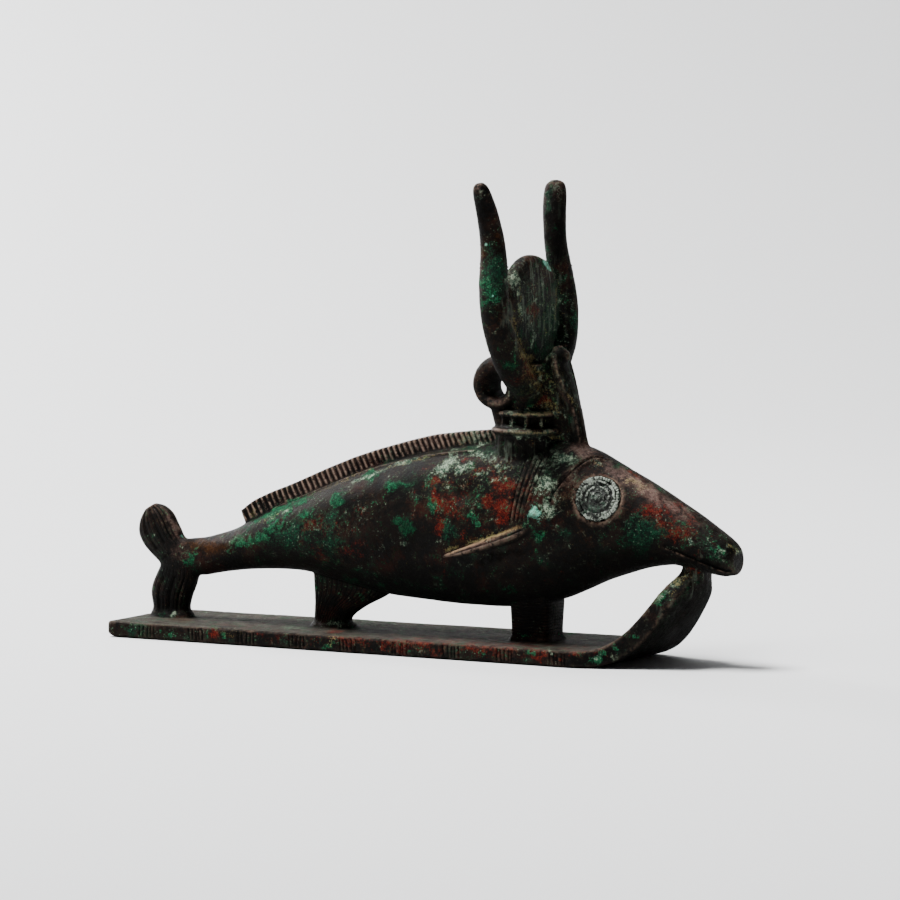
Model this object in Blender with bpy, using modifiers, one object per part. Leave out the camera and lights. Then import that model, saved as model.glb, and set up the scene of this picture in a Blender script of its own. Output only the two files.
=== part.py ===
"""A bronze oxyrhynchus fish on a sledge, crowned with horns, a disc and a cobra.

Metres, +Z up. The fish looks along +X, its middle plane is y = 0 and the sledge
stands on z = 0. The whole casting is one solid; the two eyes are inlaid discs.
"""
import math

import bmesh
import bpy
from mathutils import Matrix, Vector

MM = 0.001

# Overall length. The free forms are written in units, with their places counted from
# the figure's middle and their heights from the sledge's top face.
FIGURE_LENGTH = 138.6 * MM

# Fish body: place along the length, height of the back, height of the belly, half width.
BODY = (
    (-62.0, 13.4, 11.2, 0.9), (-58.0, 16.8, 9.4, 2.4), (-54.0, 17.1, 9.1, 3.2),
    (-50.0, 17.9, 9.9, 3.8), (-46.0, 19.2, 10.5, 4.5), (-42.0, 21.2, 10.9, 5.3),
    (-36.0, 24.0, 11.3, 6.5), (-29.0, 26.9, 11.2, 7.7), (-22.0, 29.8, 10.0, 8.7),
    (-15.0, 32.5, 8.6, 9.5), (-8.0, 34.8, 7.4, 10.1), (0.0, 36.9, 6.8, 10.6),
    (8.0, 38.4, 6.4, 10.9), (16.0, 39.5, 6.3, 11.0), (24.0, 40.1, 6.9, 10.8),
    (31.0, 40.2, 8.7, 10.2), (36.0, 39.3, 10.7, 9.6), (41.0, 37.3, 12.9, 8.9),
    (46.0, 34.8, 14.6, 8.0), (51.0, 32.2, 16.0, 7.0), (56.0, 29.4, 16.6, 6.1),
    (61.0, 26.5, 16.1, 5.3), (65.0, 24.0, 15.4, 4.7), (67.6, 22.2, 15.3, 4.1),
    (69.0, 20.7, 16.2, 3.2), (69.3, 19.6, 17.2, 2.2),
)
SNOUT_END = BODY[-1][0]
UNIT = FIGURE_LENGTH / 2 / SNOUT_END

# Sledge
SLEDGE_THICKNESS = 3.3 * MM
SLEDGE_WIDTH_TAIL = 27.6 * MM
SLEDGE_WIDTH_HEAD = 31.2 * MM
SLEDGE_EDGE_ROUND = 0.6 * MM
SLEDGE_CUT_GROUPS = 9
SLEDGE_CUTS_IN_GROUP = 4
SLEDGE_CUT_DEPTH = 0.35 * MM
PROW_SWELL = 1.4 * MM

# Fish
SOCKET_RADIUS = 4.65 * MM
SOCKET_DEPTH = 1.5 * MM
EYE_CLEARANCE = 0.3 * MM
GROOVE_RADIUS = 0.38 * MM
FIN_THICKNESS = 2.7 * MM
BACK_FIN_RAY_COUNT = 50
FOOT_SINK = 0.5
TAIL_RAYS = 5
BELLY_RAYS = 6
RAY_DEPTH = 0.16
BLOCK_CHAMFER = 0.9 * MM

# Crown
DRUM_RADIUS = 7.0 * MM
DRUM_HEIGHT = 8.4 * MM
DRUM_FLUTES = 16
DRUM_FLUTE_DEPTH = 0.4 * MM
TIER_RADIUS = 5.9 * MM
TIER_HEIGHT = 3.2 * MM
TIER_RECESSES = 10
TIER_RECESS_DEPTH = 0.7 * MM
STEM_RADIUS = 3.7 * MM
STEM_HEIGHT = 5.6 * MM
DISC_RADIUS = 11.3 * MM
DISC_THICKNESS = 3.5 * MM
DISC_RIM_WIDTH = 1.1 * MM
DISC_DISH_DEPTH = 0.5 * MM
HORN_RADIUS_RIGHT = 2.7 * MM
HORN_RADIUS_LEFT = 2.4 * MM
LOOP_HOLE_RADIUS = 3.1 * MM
LOOP_BAND = 2.4 * MM
LOOP_WIDTH = 5.5 * MM

ROUND_SIDES = 24
SHARP_ANGLE = math.radians(38.0)


def start_scene():
    """Empty the scene and return the collections for the parts and the cutters."""
    for leftover in list(bpy.data.objects):
        bpy.data.objects.remove(leftover, do_unlink=True)
    made = []
    for name in ("oxyrhynchus_figure", "cutters"):
        collection = bpy.data.collections.new(name)
        bpy.context.scene.collection.children.link(collection)
        made.append(collection)
    return made


PARTS, CUTTERS = start_scene()


def metal(name, colour, metallic, roughness):
    """A Principled material for one node."""
    material = bpy.data.materials.new(name)
    material.use_nodes = True
    shader = material.node_tree.nodes["Principled BSDF"]
    shader.inputs["Base Color"].default_value = (*colour, 1.0)
    shader.inputs["Metallic"].default_value = metallic
    shader.inputs["Roughness"].default_value = roughness
    return material


def place(x, y, z):
    """A point of the free forms, given in units above the sledge's top."""
    return Vector((x * UNIT, y * UNIT, SLEDGE_THICKNESS + z * UNIT))


def glide(rows, at):
    """The row at a place in a table, by a smooth curve through its rows."""
    last = len(rows) - 1
    i = max(0, min(last - 1, sum(1 for row in rows[1:last] if row[0] <= at)))
    before, start, end, after = (rows[max(0, i - 1)], rows[i], rows[i + 1], rows[min(last, i + 2)])
    span = end[0] - start[0]
    t = max(0.0, min(1.0, (at - start[0]) / span))
    values = []
    for a, b, c, d in zip(before, start, end, after):
        tangent_b = (c - a) / (end[0] - before[0]) * span
        tangent_c = (d - b) / (after[0] - start[0]) * span
        values.append(b * (2 * t**3 - 3 * t**2 + 1) + tangent_b * (t**3 - 2 * t**2 + t)
                      + c * (3 * t**2 - 2 * t**3) + tangent_c * (t**3 - t**2))
    return values


def steps(first, last, count):
    """Evenly spaced numbers from first to last."""
    return [first + (last - first) * i / (count - 1) for i in range(count)]


def add_object(name, mesh, collection):
    """Link a mesh as an object; what is only joined or cut away is hidden."""
    mesh.shade_smooth()
    mesh.set_sharp_from_angle(angle=SHARP_ANGLE)
    item = bpy.data.objects.new(name, mesh)
    collection.objects.link(item)
    if collection is CUTTERS:
        item.hide_render = True
        item.display_type = "WIRE"
    return item


def loft(name, rings, collection=None):
    """A closed skin over rings of equal point count, capped at both ends."""
    shape = bmesh.new()
    rows = [[shape.verts.new(point) for point in ring] for ring in rings]
    count = len(rows[0])
    for low, high in zip(rows, rows[1:]):
        for i in range(count):
            j = (i + 1) % count
            shape.faces.new((low[i], low[j], high[j], high[i]))
    shape.faces.new(rows[0])
    shape.faces.new(rows[-1])
    bmesh.ops.recalc_face_normals(shape, faces=shape.faces)
    mesh = bpy.data.meshes.new(name)
    shape.to_mesh(mesh)
    shape.free()
    return add_object(name, mesh, collection or CUTTERS)


def oval(centre, along, across, sides):
    """A ring of points on an ellipse with the two given half axes."""
    turns = [2 * math.pi * i / sides for i in range(sides)]
    return [centre + along * math.cos(turn) + across * math.sin(turn) for turn in turns]


def plank(centre, half_width, half_height, rounding):
    """A ring round a rectangle with chamfered corners, for a plate's section."""
    width, height = half_width.normalized(), half_height.normalized()
    inner_w = half_width - width * rounding
    inner_h = half_height - height * rounding
    ring = []
    for side, end in ((1, 1), (-1, 1), (-1, -1), (1, -1)):
        corners = [half_width * side + inner_h * end, inner_w * side + half_height * end]
        if side != end:
            corners.reverse()
        ring.extend(centre + corner for corner in corners)
    return ring


def tongue(centre, half_width, half_height, rounding, swell):
    """A plate's section whose outer side swells, as a spoon's back does."""
    ring = plank(centre, half_width, half_height, rounding)
    outward = half_height.normalized() * -swell
    back = [centre - half_height + half_width * share + outward * (1 - share**2)
            for share in (-0.62, 0.0, 0.62)]
    return ring[:6] + back + ring[6:]


def drum(name, radius, height, base, sides=ROUND_SIDES, top_radius=None, turned_by=0.0):
    """An upright cylinder or cone standing on a point."""
    shape = bmesh.new()
    bmesh.ops.create_cone(shape, cap_ends=True, segments=sides, radius1=radius,
                          radius2=radius if top_radius is None else top_radius, depth=height)
    bmesh.ops.rotate(shape, verts=shape.verts, matrix=Matrix.Rotation(turned_by, 3, "Z"))
    bmesh.ops.translate(shape, verts=shape.verts, vec=base + Vector((0, 0, height / 2)))
    mesh = bpy.data.meshes.new(name)
    shape.to_mesh(mesh)
    shape.free()
    return add_object(name, mesh, CUTTERS)


def lying_drum(name, radius, height, centre, axis, sides=ROUND_SIDES):
    """A cylinder about a centre, along any axis."""
    shape = bmesh.new()
    turn = Vector((0, 0, 1)).rotation_difference(axis).to_matrix().to_4x4()
    bmesh.ops.create_cone(shape, cap_ends=True, segments=sides, radius1=radius,
                          radius2=radius, depth=height, matrix=Matrix.Translation(centre) @ turn)
    mesh = bpy.data.meshes.new(name)
    shape.to_mesh(mesh)
    shape.free()
    return add_object(name, mesh, CUTTERS)


def body_point(x, turn):
    """A point on the fish's skin; the turn runs from the back (0) down the left side."""
    _, back, belly, half_width = glide(BODY, x)
    middle, half_height = (back + belly) / 2, (back - belly) / 2
    return place(x, half_width * math.sin(turn), middle + half_height * math.cos(turn))


def body_normal(x, turn):
    """The outward direction of the skin at a point."""
    step = 0.05
    along = body_point(x + step, turn) - body_point(x - step, turn)
    around = body_point(x, turn + step) - body_point(x, turn - step)
    return around.cross(along).normalized()


def make_body():
    """The fish's trunk and head, lofted through its sections."""
    places = steps(BODY[0][0], BODY[-5][0], 30) + [row[0] for row in BODY[-4:]]
    turns = [2 * math.pi * i / ROUND_SIDES for i in range(ROUND_SIDES)]
    return loft("fish_figure", [[body_point(x, turn) for turn in turns] for x in places], PARTS)


# Long back fin: place along its foot, height of its top edge over the sledge.
BACK_FIN = (
    (-43.6, 23.4), (-40.0, 25.8), (-30.9, 29.5), (-16.4, 35.4),
    (-0.3, 40.1), (6.6, 41.3), (16.0, 42.3),
)
BACK_FIN_LEAN = 0.45


def make_back_fin():
    """A comb of raised rays that runs up the back, each leaning towards the tail."""
    rings = []
    places = steps(BACK_FIN[0][0], BACK_FIN[-1][0], 2 * BACK_FIN_RAY_COUNT + 1)
    for i, x in enumerate(places):
        top = glide(BACK_FIN, x)[1]
        foot = glide(BODY, x)[1] - 2.0
        ridge = 1.0 if i % 2 else 0.76
        low = ridge * FIN_THICKNESS / 2 / UNIT
        high = 0.62 * low
        shift = BACK_FIN_LEAN * (top - foot)
        rings.append([place(x + shift * 0.5, -low, foot), place(x - shift * 0.4, -high, top - 0.5),
                      place(x - shift * 0.5, 0.0, top), place(x - shift * 0.4, high, top - 0.5),
                      place(x + shift * 0.5, low, foot)])
    return loft("back_fin", rings)


def ray_ring(centre, half_length, half_thickness, rays):
    """A flat oval section whose two broad sides are furrowed into rays."""
    sides = 4 * rays
    ring = []
    for i in range(sides):
        turn = 2 * math.pi * i / sides
        across = math.sin(turn) * (1.0 if i % 2 else 1.0 - RAY_DEPTH)
        along = math.cos(turn)
        flat = math.copysign(abs(across) ** 0.7, across)
        ring.append(centre + half_length * along + half_thickness * flat)
    return ring


# Tail lobes: centre along the length, height, half length of the section, half thickness.
TAIL_UPPER = (
    (-60.4, 12.4, 3.0, 2.2), (-62.6, 14.6, 3.9, 2.2), (-64.3, 16.9, 4.6, 2.1),
    (-65.7, 19.4, 4.6, 1.9), (-66.6, 21.4, 3.4, 1.6), (-67.1, 22.8, 1.5, 0.9),
)
TAIL_LOWER = (
    (-59.6, 13.4, 3.4, 2.2), (-60.3, 9.2, 4.8, 2.4), (-61.2, 6.7, 5.0, 2.5),
    (-61.8, 4.7, 4.7, 2.5), (-61.9, 2.0, 4.2, 2.4), (-61.8, 0.5, 4.8, 3.0),
)
TAIL_UPPER_ACROSS = Vector((0.86, 0.0, 0.51))


def make_tail():
    """The two lobes of the tail, each a furrowed paddle; the lower one stands on the sledge."""
    upper = []
    for x, z, half_length, half_thickness in TAIL_UPPER:
        across = TAIL_UPPER_ACROSS * half_length * UNIT
        upper.append(ray_ring(place(x, 0, z), across, Vector((0, half_thickness * UNIT, 0)),
                              TAIL_RAYS))
    lower = [ray_ring(place(x, 0, z), Vector((half_length * UNIT, 0, 0)),
                      Vector((0, half_thickness * UNIT, 0)), TAIL_RAYS)
             for x, z, half_length, half_thickness in TAIL_LOWER]
    lower.append([Vector((point.x, point.y, SLEDGE_THICKNESS * FOOT_SINK)) for point in lower[-1]])
    return [loft("tail_upper", upper), loft("tail_lower", lower)]


# Belly fin behind the middle: height, its back edge, its front edge, half thickness.
BELLY_FIN = (
    (11.5, -27.4, -8.0, 2.2), (8.4, -27.2, -9.2, 2.1), (6.9, -27.1, -10.8, 2.0),
    (4.7, -27.0, -15.2, 2.0), (2.6, -27.0, -18.4, 2.0), (1.2, -27.1, -19.0, 2.1),
    (0.4, -27.6, -18.0, 2.9),
)
# Pair of fins under the breast, cast as one block: height, half length, half width.
BREAST_BLOCK = (
    (9.5, 4.3, 4.2), (6.0, 4.1, 4.0), (3.0, 3.9, 3.8), (1.2, 4.0, 3.9), (0.4, 4.8, 4.6),
)
BREAST_BLOCK_X = 24.4


def make_feet():
    """The fins that carry the fish: a furrowed plate and a block, with flared feet."""
    rows = []
    for z, back, front, half_thickness in BELLY_FIN:
        centre = place((back + front) / 2, 0, z)
        rows.append(ray_ring(centre, Vector(((front - back) / 2 * UNIT, 0, 0)),
                             Vector((0, half_thickness * UNIT, 0)), BELLY_RAYS))
    rows.append([Vector((point.x, point.y, SLEDGE_THICKNESS * FOOT_SINK)) for point in rows[-1]])
    block = []
    for z, half_length, half_width in BREAST_BLOCK:
        block.append(plank(place(BREAST_BLOCK_X, 0, z), Vector((half_length * UNIT, 0, 0)),
                           Vector((0, half_width * UNIT, 0)), BLOCK_CHAMFER))
    block.append([Vector((point.x, point.y, SLEDGE_THICKNESS * FOOT_SINK)) for point in block[-1]])
    return [loft("belly_fin", rows), loft("breast_block", block)]


# Side fin: place, distance from the middle plane, height, half depth, half thickness.
# Its broad side slopes down and out.
SIDE_FIN_SLOPE = math.radians(38.0)
SIDE_FIN = (
    (28.0, 9.2, 22.2, 2.0, 1.0), (24.0, 10.5, 20.6, 2.3, 1.15), (18.5, 11.3, 18.9, 2.1, 1.05),
    (13.5, 11.9, 17.7, 1.6, 0.9), (10.0, 12.2, 17.1, 0.7, 0.5),
)


def make_side_fins():
    """A narrow fin on each flank, rooted behind the gills and standing off at its tip."""
    fins = []
    for name, side in (("side_fin_left", 1), ("side_fin_right", -1)):
        outward = Vector((0, math.cos(SIDE_FIN_SLOPE) * side, -math.sin(SIDE_FIN_SLOPE))) * UNIT
        upward = Vector((0, math.sin(SIDE_FIN_SLOPE) * side, math.cos(SIDE_FIN_SLOPE))) * UNIT
        rings = [oval(place(x, y * side, z), outward * depth, upward * thickness, 12)
                 for x, y, z, depth, thickness in SIDE_FIN]
        fins.append(loft(name, rings))
    return fins


# The sledge turns up at the front into a tongue that meets the fish's chin. Tongue: place
# and height of the middle of its thickness, shares of the plate's half width and thickness.
TAIL_CORNER_RIGHT = 2.0
TAIL_CORNER_LEFT = 8.0
TURN_START = 40.0
PROW = (
    (44.2, -1.4, 0.923, 1.06), (48.1, 0.1, 0.827, 1.15), (50.9, 2.2, 0.737, 1.24),
    (53.2, 4.7, 0.673, 1.24), (55.2, 7.3, 0.628, 1.18), (57.0, 9.9, 0.59, 1.12),
    (58.4, 12.1, 0.5, 1.09), (59.3, 13.8, 0.346, 1.06), (59.8, 15.4, 0.237, 1.03),
    (60.2, 18.2, 0.205, 1.03),
)
SLEDGE_BEND = 20.0


def corner(distance, radius):
    """How far a rounded plan corner is drawn in, at a distance from the end."""
    if distance >= radius:
        return 0.0
    return radius - math.sqrt(radius**2 - (radius - distance) ** 2)


def sledge_half_width(x):
    """Half the plate's width at a place along it."""
    share = (x + SNOUT_END) / (TURN_START + SNOUT_END)
    return (SLEDGE_WIDTH_TAIL + (SLEDGE_WIDTH_HEAD - SLEDGE_WIDTH_TAIL) * share) / 2


def make_sledge():
    """The plate, drawn in at its tail end, lofted on into the upturned tongue."""
    tail, turn = -SNOUT_END, TURN_START
    thick = SLEDGE_THICKNESS
    rings = []
    distances = [0.0, 0.5, 1.2, 2.2, 4.0, 6.0, TAIL_CORNER_LEFT]
    for x in [tail + d for d in distances] + steps(tail + SLEDGE_BEND, turn, 6):
        half = sledge_half_width(x)
        left = half - corner(x - tail + 0.7, TAIL_CORNER_LEFT) * UNIT
        right = half - corner(x - tail + 0.7, TAIL_CORNER_RIGHT) * UNIT
        undercut = max(0.0, 0.35 - 0.2 * (x - tail)) * thick
        centre = Vector((x * UNIT, (left - right) / 2, (thick + undercut) / 2))
        rings.append(tongue(centre, Vector((0, (left + right) / 2, 0)),
                            Vector((0, 0, (thick - undercut) / 2)), SLEDGE_EDGE_ROUND, 0.0))
    middle = [Vector((turn * UNIT, 0, thick / 2))]
    middle += [place(x, 0, z) for x, z, _, _ in PROW]
    for i, (_, _, wide, deep) in enumerate(PROW, start=1):
        along = (middle[min(i + 1, len(PROW))] - middle[i - 1]).normalized()
        inward = along.cross(Vector((0, 1, 0)))
        swell = min(1.0, max(0.0, (i - 2) / 4)) * PROW_SWELL
        rings.append(tongue(middle[i], Vector((0, wide * SLEDGE_WIDTH_HEAD / 2, 0)),
                            inward * deep * thick / 2, SLEDGE_EDGE_ROUND, swell))
    return loft("sledge", rings)


# Crown. Its seat is a place in the fish's back; everything above stands on it.
CROWN_X = 22.6
CROWN_SEAT = 34.4
CROWN_BASE = place(CROWN_X, 0, CROWN_SEAT)
DRUM_TOP = CROWN_BASE + Vector((0, 0, DRUM_HEIGHT))
TIER_TOP = DRUM_TOP + Vector((0, 0, TIER_HEIGHT))
DISC_CENTRE = TIER_TOP + Vector((0, 0, STEM_HEIGHT + DISC_RADIUS + 3.0 * UNIT))


# The drum's outline: share of its radius, share of its height.
DRUM_PROFILE = ((0.88, 0.0), (0.97, 0.3), (1.0, 0.6), (0.97, 0.84), (1.04, 0.9), (0.98, 1.0))


def fluted_ring(radius, height, flutes, depth):
    """A round ring whose rim is drawn in between each pair of flutes."""
    sides = 3 * flutes
    ring = []
    for i in range(sides):
        turn = 2 * math.pi * i / sides
        reach = radius - (depth if i % 3 == 0 else 0.0)
        ring.append(Vector((math.cos(turn) * reach, math.sin(turn) * reach, height)) + CROWN_BASE)
    return ring


def make_crown_base():
    """A fluted drum with a beaded rim, a smaller recessed tier and the stem above."""
    rings = [fluted_ring(DRUM_RADIUS * wide, DRUM_HEIGHT * high, DRUM_FLUTES, DRUM_FLUTE_DEPTH)
             for wide, high in DRUM_PROFILE]
    pieces = [loft("crown_drum", rings)]
    sunk = 0.6 * UNIT
    pieces.append(drum("crown_tier", TIER_RADIUS, TIER_HEIGHT + sunk,
                       DRUM_TOP - Vector((0, 0, sunk)), sides=30))
    rim = drum("crown_rim", TIER_RADIUS * 0.9, 0.8 * UNIT, TIER_TOP - Vector((0, 0, 0.3 * UNIT)),
               top_radius=TIER_RADIUS * 0.8)
    pieces.append(rim)
    root = 1.0 * UNIT
    pieces.append(drum("crown_stem", STEM_RADIUS, STEM_HEIGHT + root + 4.0 * UNIT,
                       TIER_TOP - Vector((0, 0, root)), sides=20, top_radius=STEM_RADIUS * 1.15))
    return pieces


def make_disc():
    """The sun disc: a turned plate facing forward, with a raised rim on its front."""
    half = DISC_THICKNESS / 2
    inside = DISC_RADIUS - DISC_RIM_WIDTH
    profile = [(0.0, half - DISC_DISH_DEPTH), (inside * 0.9, half - DISC_DISH_DEPTH),
               (inside, half), (DISC_RADIUS * 0.97, half), (DISC_RADIUS, half * 0.6),
               (DISC_RADIUS, -half * 0.6), (DISC_RADIUS * 0.96, -half), (0.0, -half)]
    return turned("disc", profile, DISC_CENTRE, Vector((1, 0, 0)), CUTTERS, 30)


def turned(name, profile, centre, axis, collection, sides):
    """A solid of revolution: a profile of radius and height with a Screw modifier."""
    shape = bmesh.new()
    points = [shape.verts.new((radius, 0, height)) for radius, height in profile]
    for top, bottom in zip(points, points[1:]):
        shape.edges.new((top, bottom))
    mesh = bpy.data.meshes.new(name)
    shape.to_mesh(mesh)
    shape.free()
    item = add_object(name, mesh, collection)
    screw = item.modifiers.new("turn", "SCREW")
    screw.steps = screw.render_steps = sides
    screw.use_merge_vertices = True
    screw.merge_threshold = 0.01 * MM
    screw.use_smooth_shade = True
    item.location = centre
    item.rotation_mode = "QUATERNION"
    item.rotation_quaternion = Vector((0, 0, 1)).rotation_difference(axis)
    return item


# Horns, in disc radii from the disc's centre: lateral distance, height, and the share of
# its full thickness that the left and then the right horn has there.
HORN = (
    (0.06, -1.50, 0.90, 0.90), (0.46, -1.22, 1.15, 1.15), (0.84, -0.87, 1.20, 1.20),
    (1.12, -0.48, 1.16, 1.14), (1.26, 0.00, 1.10, 1.10), (1.25, 0.46, 1.04, 1.06),
    (1.16, 0.90, 1.00, 1.00), (1.13, 1.28, 0.95, 0.92), (1.18, 1.68, 0.92, 0.80),
    (1.27, 2.02, 0.84, 0.62), (1.33, 2.20, 0.66, 0.42), (1.345, 2.28, 0.34, 0.20),
)
HORN_LEAN = 0.105
HORN_FORWARD = 1.2
HORN_SPREAD = {"horn_left": 1.0, "horn_right": 1.07}


def make_crown_web():
    """The metal that fills the foot of the crown, between the horns and under the disc."""
    rings = []
    for height, half_width in ((-1.6, 0.30), (-1.2, 0.42), (-0.86, 0.74), (-0.5, 0.88)):
        centre = DISC_CENTRE + Vector((0, 0, height * DISC_RADIUS))
        rings.append(plank(centre, Vector((0, half_width * DISC_RADIUS, 0)),
                           Vector((DISC_THICKNESS * 0.4, 0, 0)), 0.3 * UNIT))
    return loft("crown_web", rings)


def make_horns():
    """Two lyre-shaped horns that rise from the stem and hold the disc between them."""
    horns = []
    for name, side, thick in (("horn_left", 1, HORN_RADIUS_LEFT),
                              ("horn_right", -1, HORN_RADIUS_RIGHT)):
        spine = []
        spread = DISC_RADIUS * HORN_SPREAD[name]
        for lateral, height, *_ in HORN:
            rise = max(0.0, height + 0.6) * DISC_RADIUS
            spine.append(DISC_CENTRE + Vector((HORN_FORWARD * UNIT - rise * HORN_LEAN,
                                               lateral * spread * side, height * DISC_RADIUS)))
        rings = []
        for i, row in enumerate(HORN):
            share = row[2] if side > 0 else row[3]
            along = (spine[min(i + 1, len(spine) - 1)] - spine[max(i - 1, 0)]).normalized()
            outward = along.cross(Vector((1, 0, 0))).normalized()
            forward = outward.cross(along).normalized()
            rings.append(oval(spine[i], forward * thick * share, outward * thick * share, 10))
        horns.append(loft(name, rings))
    return horns


# Cobra at the crown's front: place before the crown's middle, height over the crown's
# seat, half thickness and half width.
COBRA = (
    (11.8, 2.6, 2.4, 2.6), (11.0, 6.0, 1.7, 1.9), (9.7, 11.0, 1.5, 2.0), (8.5, 15.5, 1.4, 2.6),
    (7.5, 19.0, 1.3, 2.9), (6.8, 21.8, 1.2, 2.3), (6.4, 23.6, 1.4, 1.6), (6.3, 25.0, 1.0, 1.1),
)


def make_cobra():
    """The rearing cobra and the web of metal that ties it to the stem."""
    rings = []
    for forward, height, half_thickness, half_width in COBRA:
        centre = CROWN_BASE + Vector((forward * UNIT, 0, height * UNIT))
        rings.append(oval(centre, Vector((half_thickness * UNIT, 0, 0.25 * half_thickness * UNIT)),
                          Vector((0, half_width * UNIT, 0)), 10))
    web = []
    for height, reach in ((1.0, 11.4), (8.0, 9.9), (16.0, 7.8), (21.0, 6.0)):
        centre = CROWN_BASE + Vector((reach / 2 * UNIT, 0, height * UNIT))
        web.append(plank(centre, Vector((reach / 2 * UNIT, 0, 0)), Vector((0, 1.1 * UNIT, 0)),
                         0.3 * UNIT))
    return [loft("cobra", rings), loft("cobra_web", web)]


LOOP_CENTRE = TIER_TOP + Vector((-(STEM_RADIUS + LOOP_HOLE_RADIUS - 0.9 * UNIT), 0,
                                 LOOP_HOLE_RADIUS + 2.3 * UNIT))


def make_loop():
    """The ring for hanging, behind the stem, with the tie that runs down to the drum."""
    ring = lying_drum("loop_ring", LOOP_HOLE_RADIUS + LOOP_BAND, LOOP_WIDTH, LOOP_CENTRE,
                      Vector((0, 1, 0)))
    tie = []
    for share, half_depth in ((0.0, 1.3), (0.4, 1.9), (1.0, 2.4)):
        top = LOOP_CENTRE + Vector((-LOOP_BAND * 0.4, 0, -(LOOP_HOLE_RADIUS + LOOP_BAND * 0.3)))
        bottom = DRUM_TOP + Vector((-DRUM_RADIUS * 0.66, 0, -1.0 * UNIT))
        tie.append(oval(top.lerp(bottom, share), Vector((half_depth * UNIT, 0, 0)),
                        Vector((0, LOOP_WIDTH * 0.42, 0)), 12))
    return [ring, loft("loop_tie", tie)]


def groove(name, path, radius):
    """A cutter for an incised line: a tube laid along points on the skin."""
    curve = bpy.data.curves.new(name, "CURVE")
    curve.dimensions = "3D"
    curve.bevel_depth = radius
    curve.bevel_resolution = 0
    curve.use_fill_caps = True
    spline = curve.splines.new("POLY")
    spline.points.add(len(path) - 1)
    for point, spot in zip(spline.points, path):
        point.co = (*spot, 1.0)
    rail = bpy.data.objects.new(name, curve)
    CUTTERS.objects.link(rail)
    bpy.context.view_layer.update()
    mesh = bpy.data.meshes.new_from_object(rail.evaluated_get(bpy.context.evaluated_depsgraph_get()))
    shape = bmesh.new()
    shape.from_mesh(mesh)
    bmesh.ops.remove_doubles(shape, verts=shape.verts, dist=0.01 * MM)
    bmesh.ops.recalc_face_normals(shape, faces=shape.faces)
    shape.to_mesh(mesh)
    shape.free()
    bpy.data.objects.remove(rail, do_unlink=True)
    return add_object(name, mesh, CUTTERS)


# Incised lines on the left side, as place along the length and turn from the back in
# degrees; the right side repeats them.
LINES = {
    "gill_line": ((40.6, 14), (38.2, 32), (35.6, 50), (33.8, 68), (32.8, 90), (33.4, 112)),
    "collar_front": ((29.6, 34), (29.0, 52), (28.0, 70), (27.0, 88)),
    "collar_middle": ((27.4, 34), (27.0, 52), (26.4, 70), (25.6, 88)),
    "collar_back": ((25.2, 36), (25.0, 54), (24.6, 72), (24.2, 88)),
    "mouth": ((54.5, 84), (58.0, 92), (62.0, 101), (65.5, 110), (68.0, 116)),
}


def make_grooves():
    """The gill cover's edge, the collar's lines and the mouth, on both sides."""
    cutters = []
    for name, stations in LINES.items():
        for side in (1, -1):
            path = [body_point(x, side * math.radians(turn)) for x, turn in stations]
            cutters.append(groove(f"{name}_{'left' if side > 0 else 'right'}", path, GROOVE_RADIUS))
    return cutters


# Edge cuts: place of the first, from group to group, and from cut to cut.
CUT_FIRST = -61.3
CUT_PITCH = 12.1
CUT_SPACING = 1.15


def make_edge_cuts():
    """Groups of short upright cuts along the sledge's two long edges."""
    cutters = []
    for side in (1, -1):
        for group in range(SLEDGE_CUT_GROUPS):
            for cut in range(SLEDGE_CUTS_IN_GROUP):
                x = CUT_FIRST + CUT_PITCH * group + CUT_SPACING * cut
                if x > TURN_START:
                    continue
                reach = sledge_half_width(x)
                foot = Vector((x * UNIT, side * (reach + SLEDGE_CUT_DEPTH), SLEDGE_THICKNESS * 0.22))
                cutters.append(drum("edge_cut", 2 * SLEDGE_CUT_DEPTH, SLEDGE_THICKNESS * 0.56, foot,
                                    sides=3, turned_by=math.pi if side > 0 else 0.0))
    return cutters


def make_tier_recesses():
    """Square recesses round the crown's upper tier."""
    cutters = []
    for i in range(TIER_RECESSES):
        turn = 2 * math.pi * (i + 0.5) / TIER_RECESSES
        shape = bmesh.new()
        bmesh.ops.create_cube(shape, size=1.0)
        width = 2 * math.pi * TIER_RADIUS / TIER_RECESSES * 0.66
        bmesh.ops.scale(shape, verts=shape.verts,
                        vec=(2 * TIER_RECESS_DEPTH, width, TIER_HEIGHT * 0.5))
        centre = DRUM_TOP + Vector((math.cos(turn) * TIER_RADIUS, math.sin(turn) * TIER_RADIUS,
                                    TIER_HEIGHT * 0.48))
        spin = Matrix.Rotation(turn, 4, "Z")
        bmesh.ops.transform(shape, matrix=Matrix.Translation(centre) @ spin, verts=shape.verts)
        mesh = bpy.data.meshes.new("tier_recess")
        shape.to_mesh(mesh)
        shape.free()
        cutters.append(add_object("tier_recess", mesh, CUTTERS))
    return cutters


# Eyes: where the middle of each lies on the skin.
EYE_X = 42.1
EYE_TURN = math.radians(65.5)
# The inlay's face: share of its radius, height in millimetres.
EYE_RINGS = ((0.0, 0.3), (0.2, 0.05), (0.5, 0.05), (0.62, 0.25), (0.75, 0.0), (0.9, 0.2), (1.0, 0.05))


def eye_seat(side):
    """The socket's mouth and its outward axis on one side of the head."""
    outward = body_normal(EYE_X, side * EYE_TURN)
    if outward.y * side < 0:
        outward = -outward
    return body_point(EYE_X, side * EYE_TURN), outward


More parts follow.
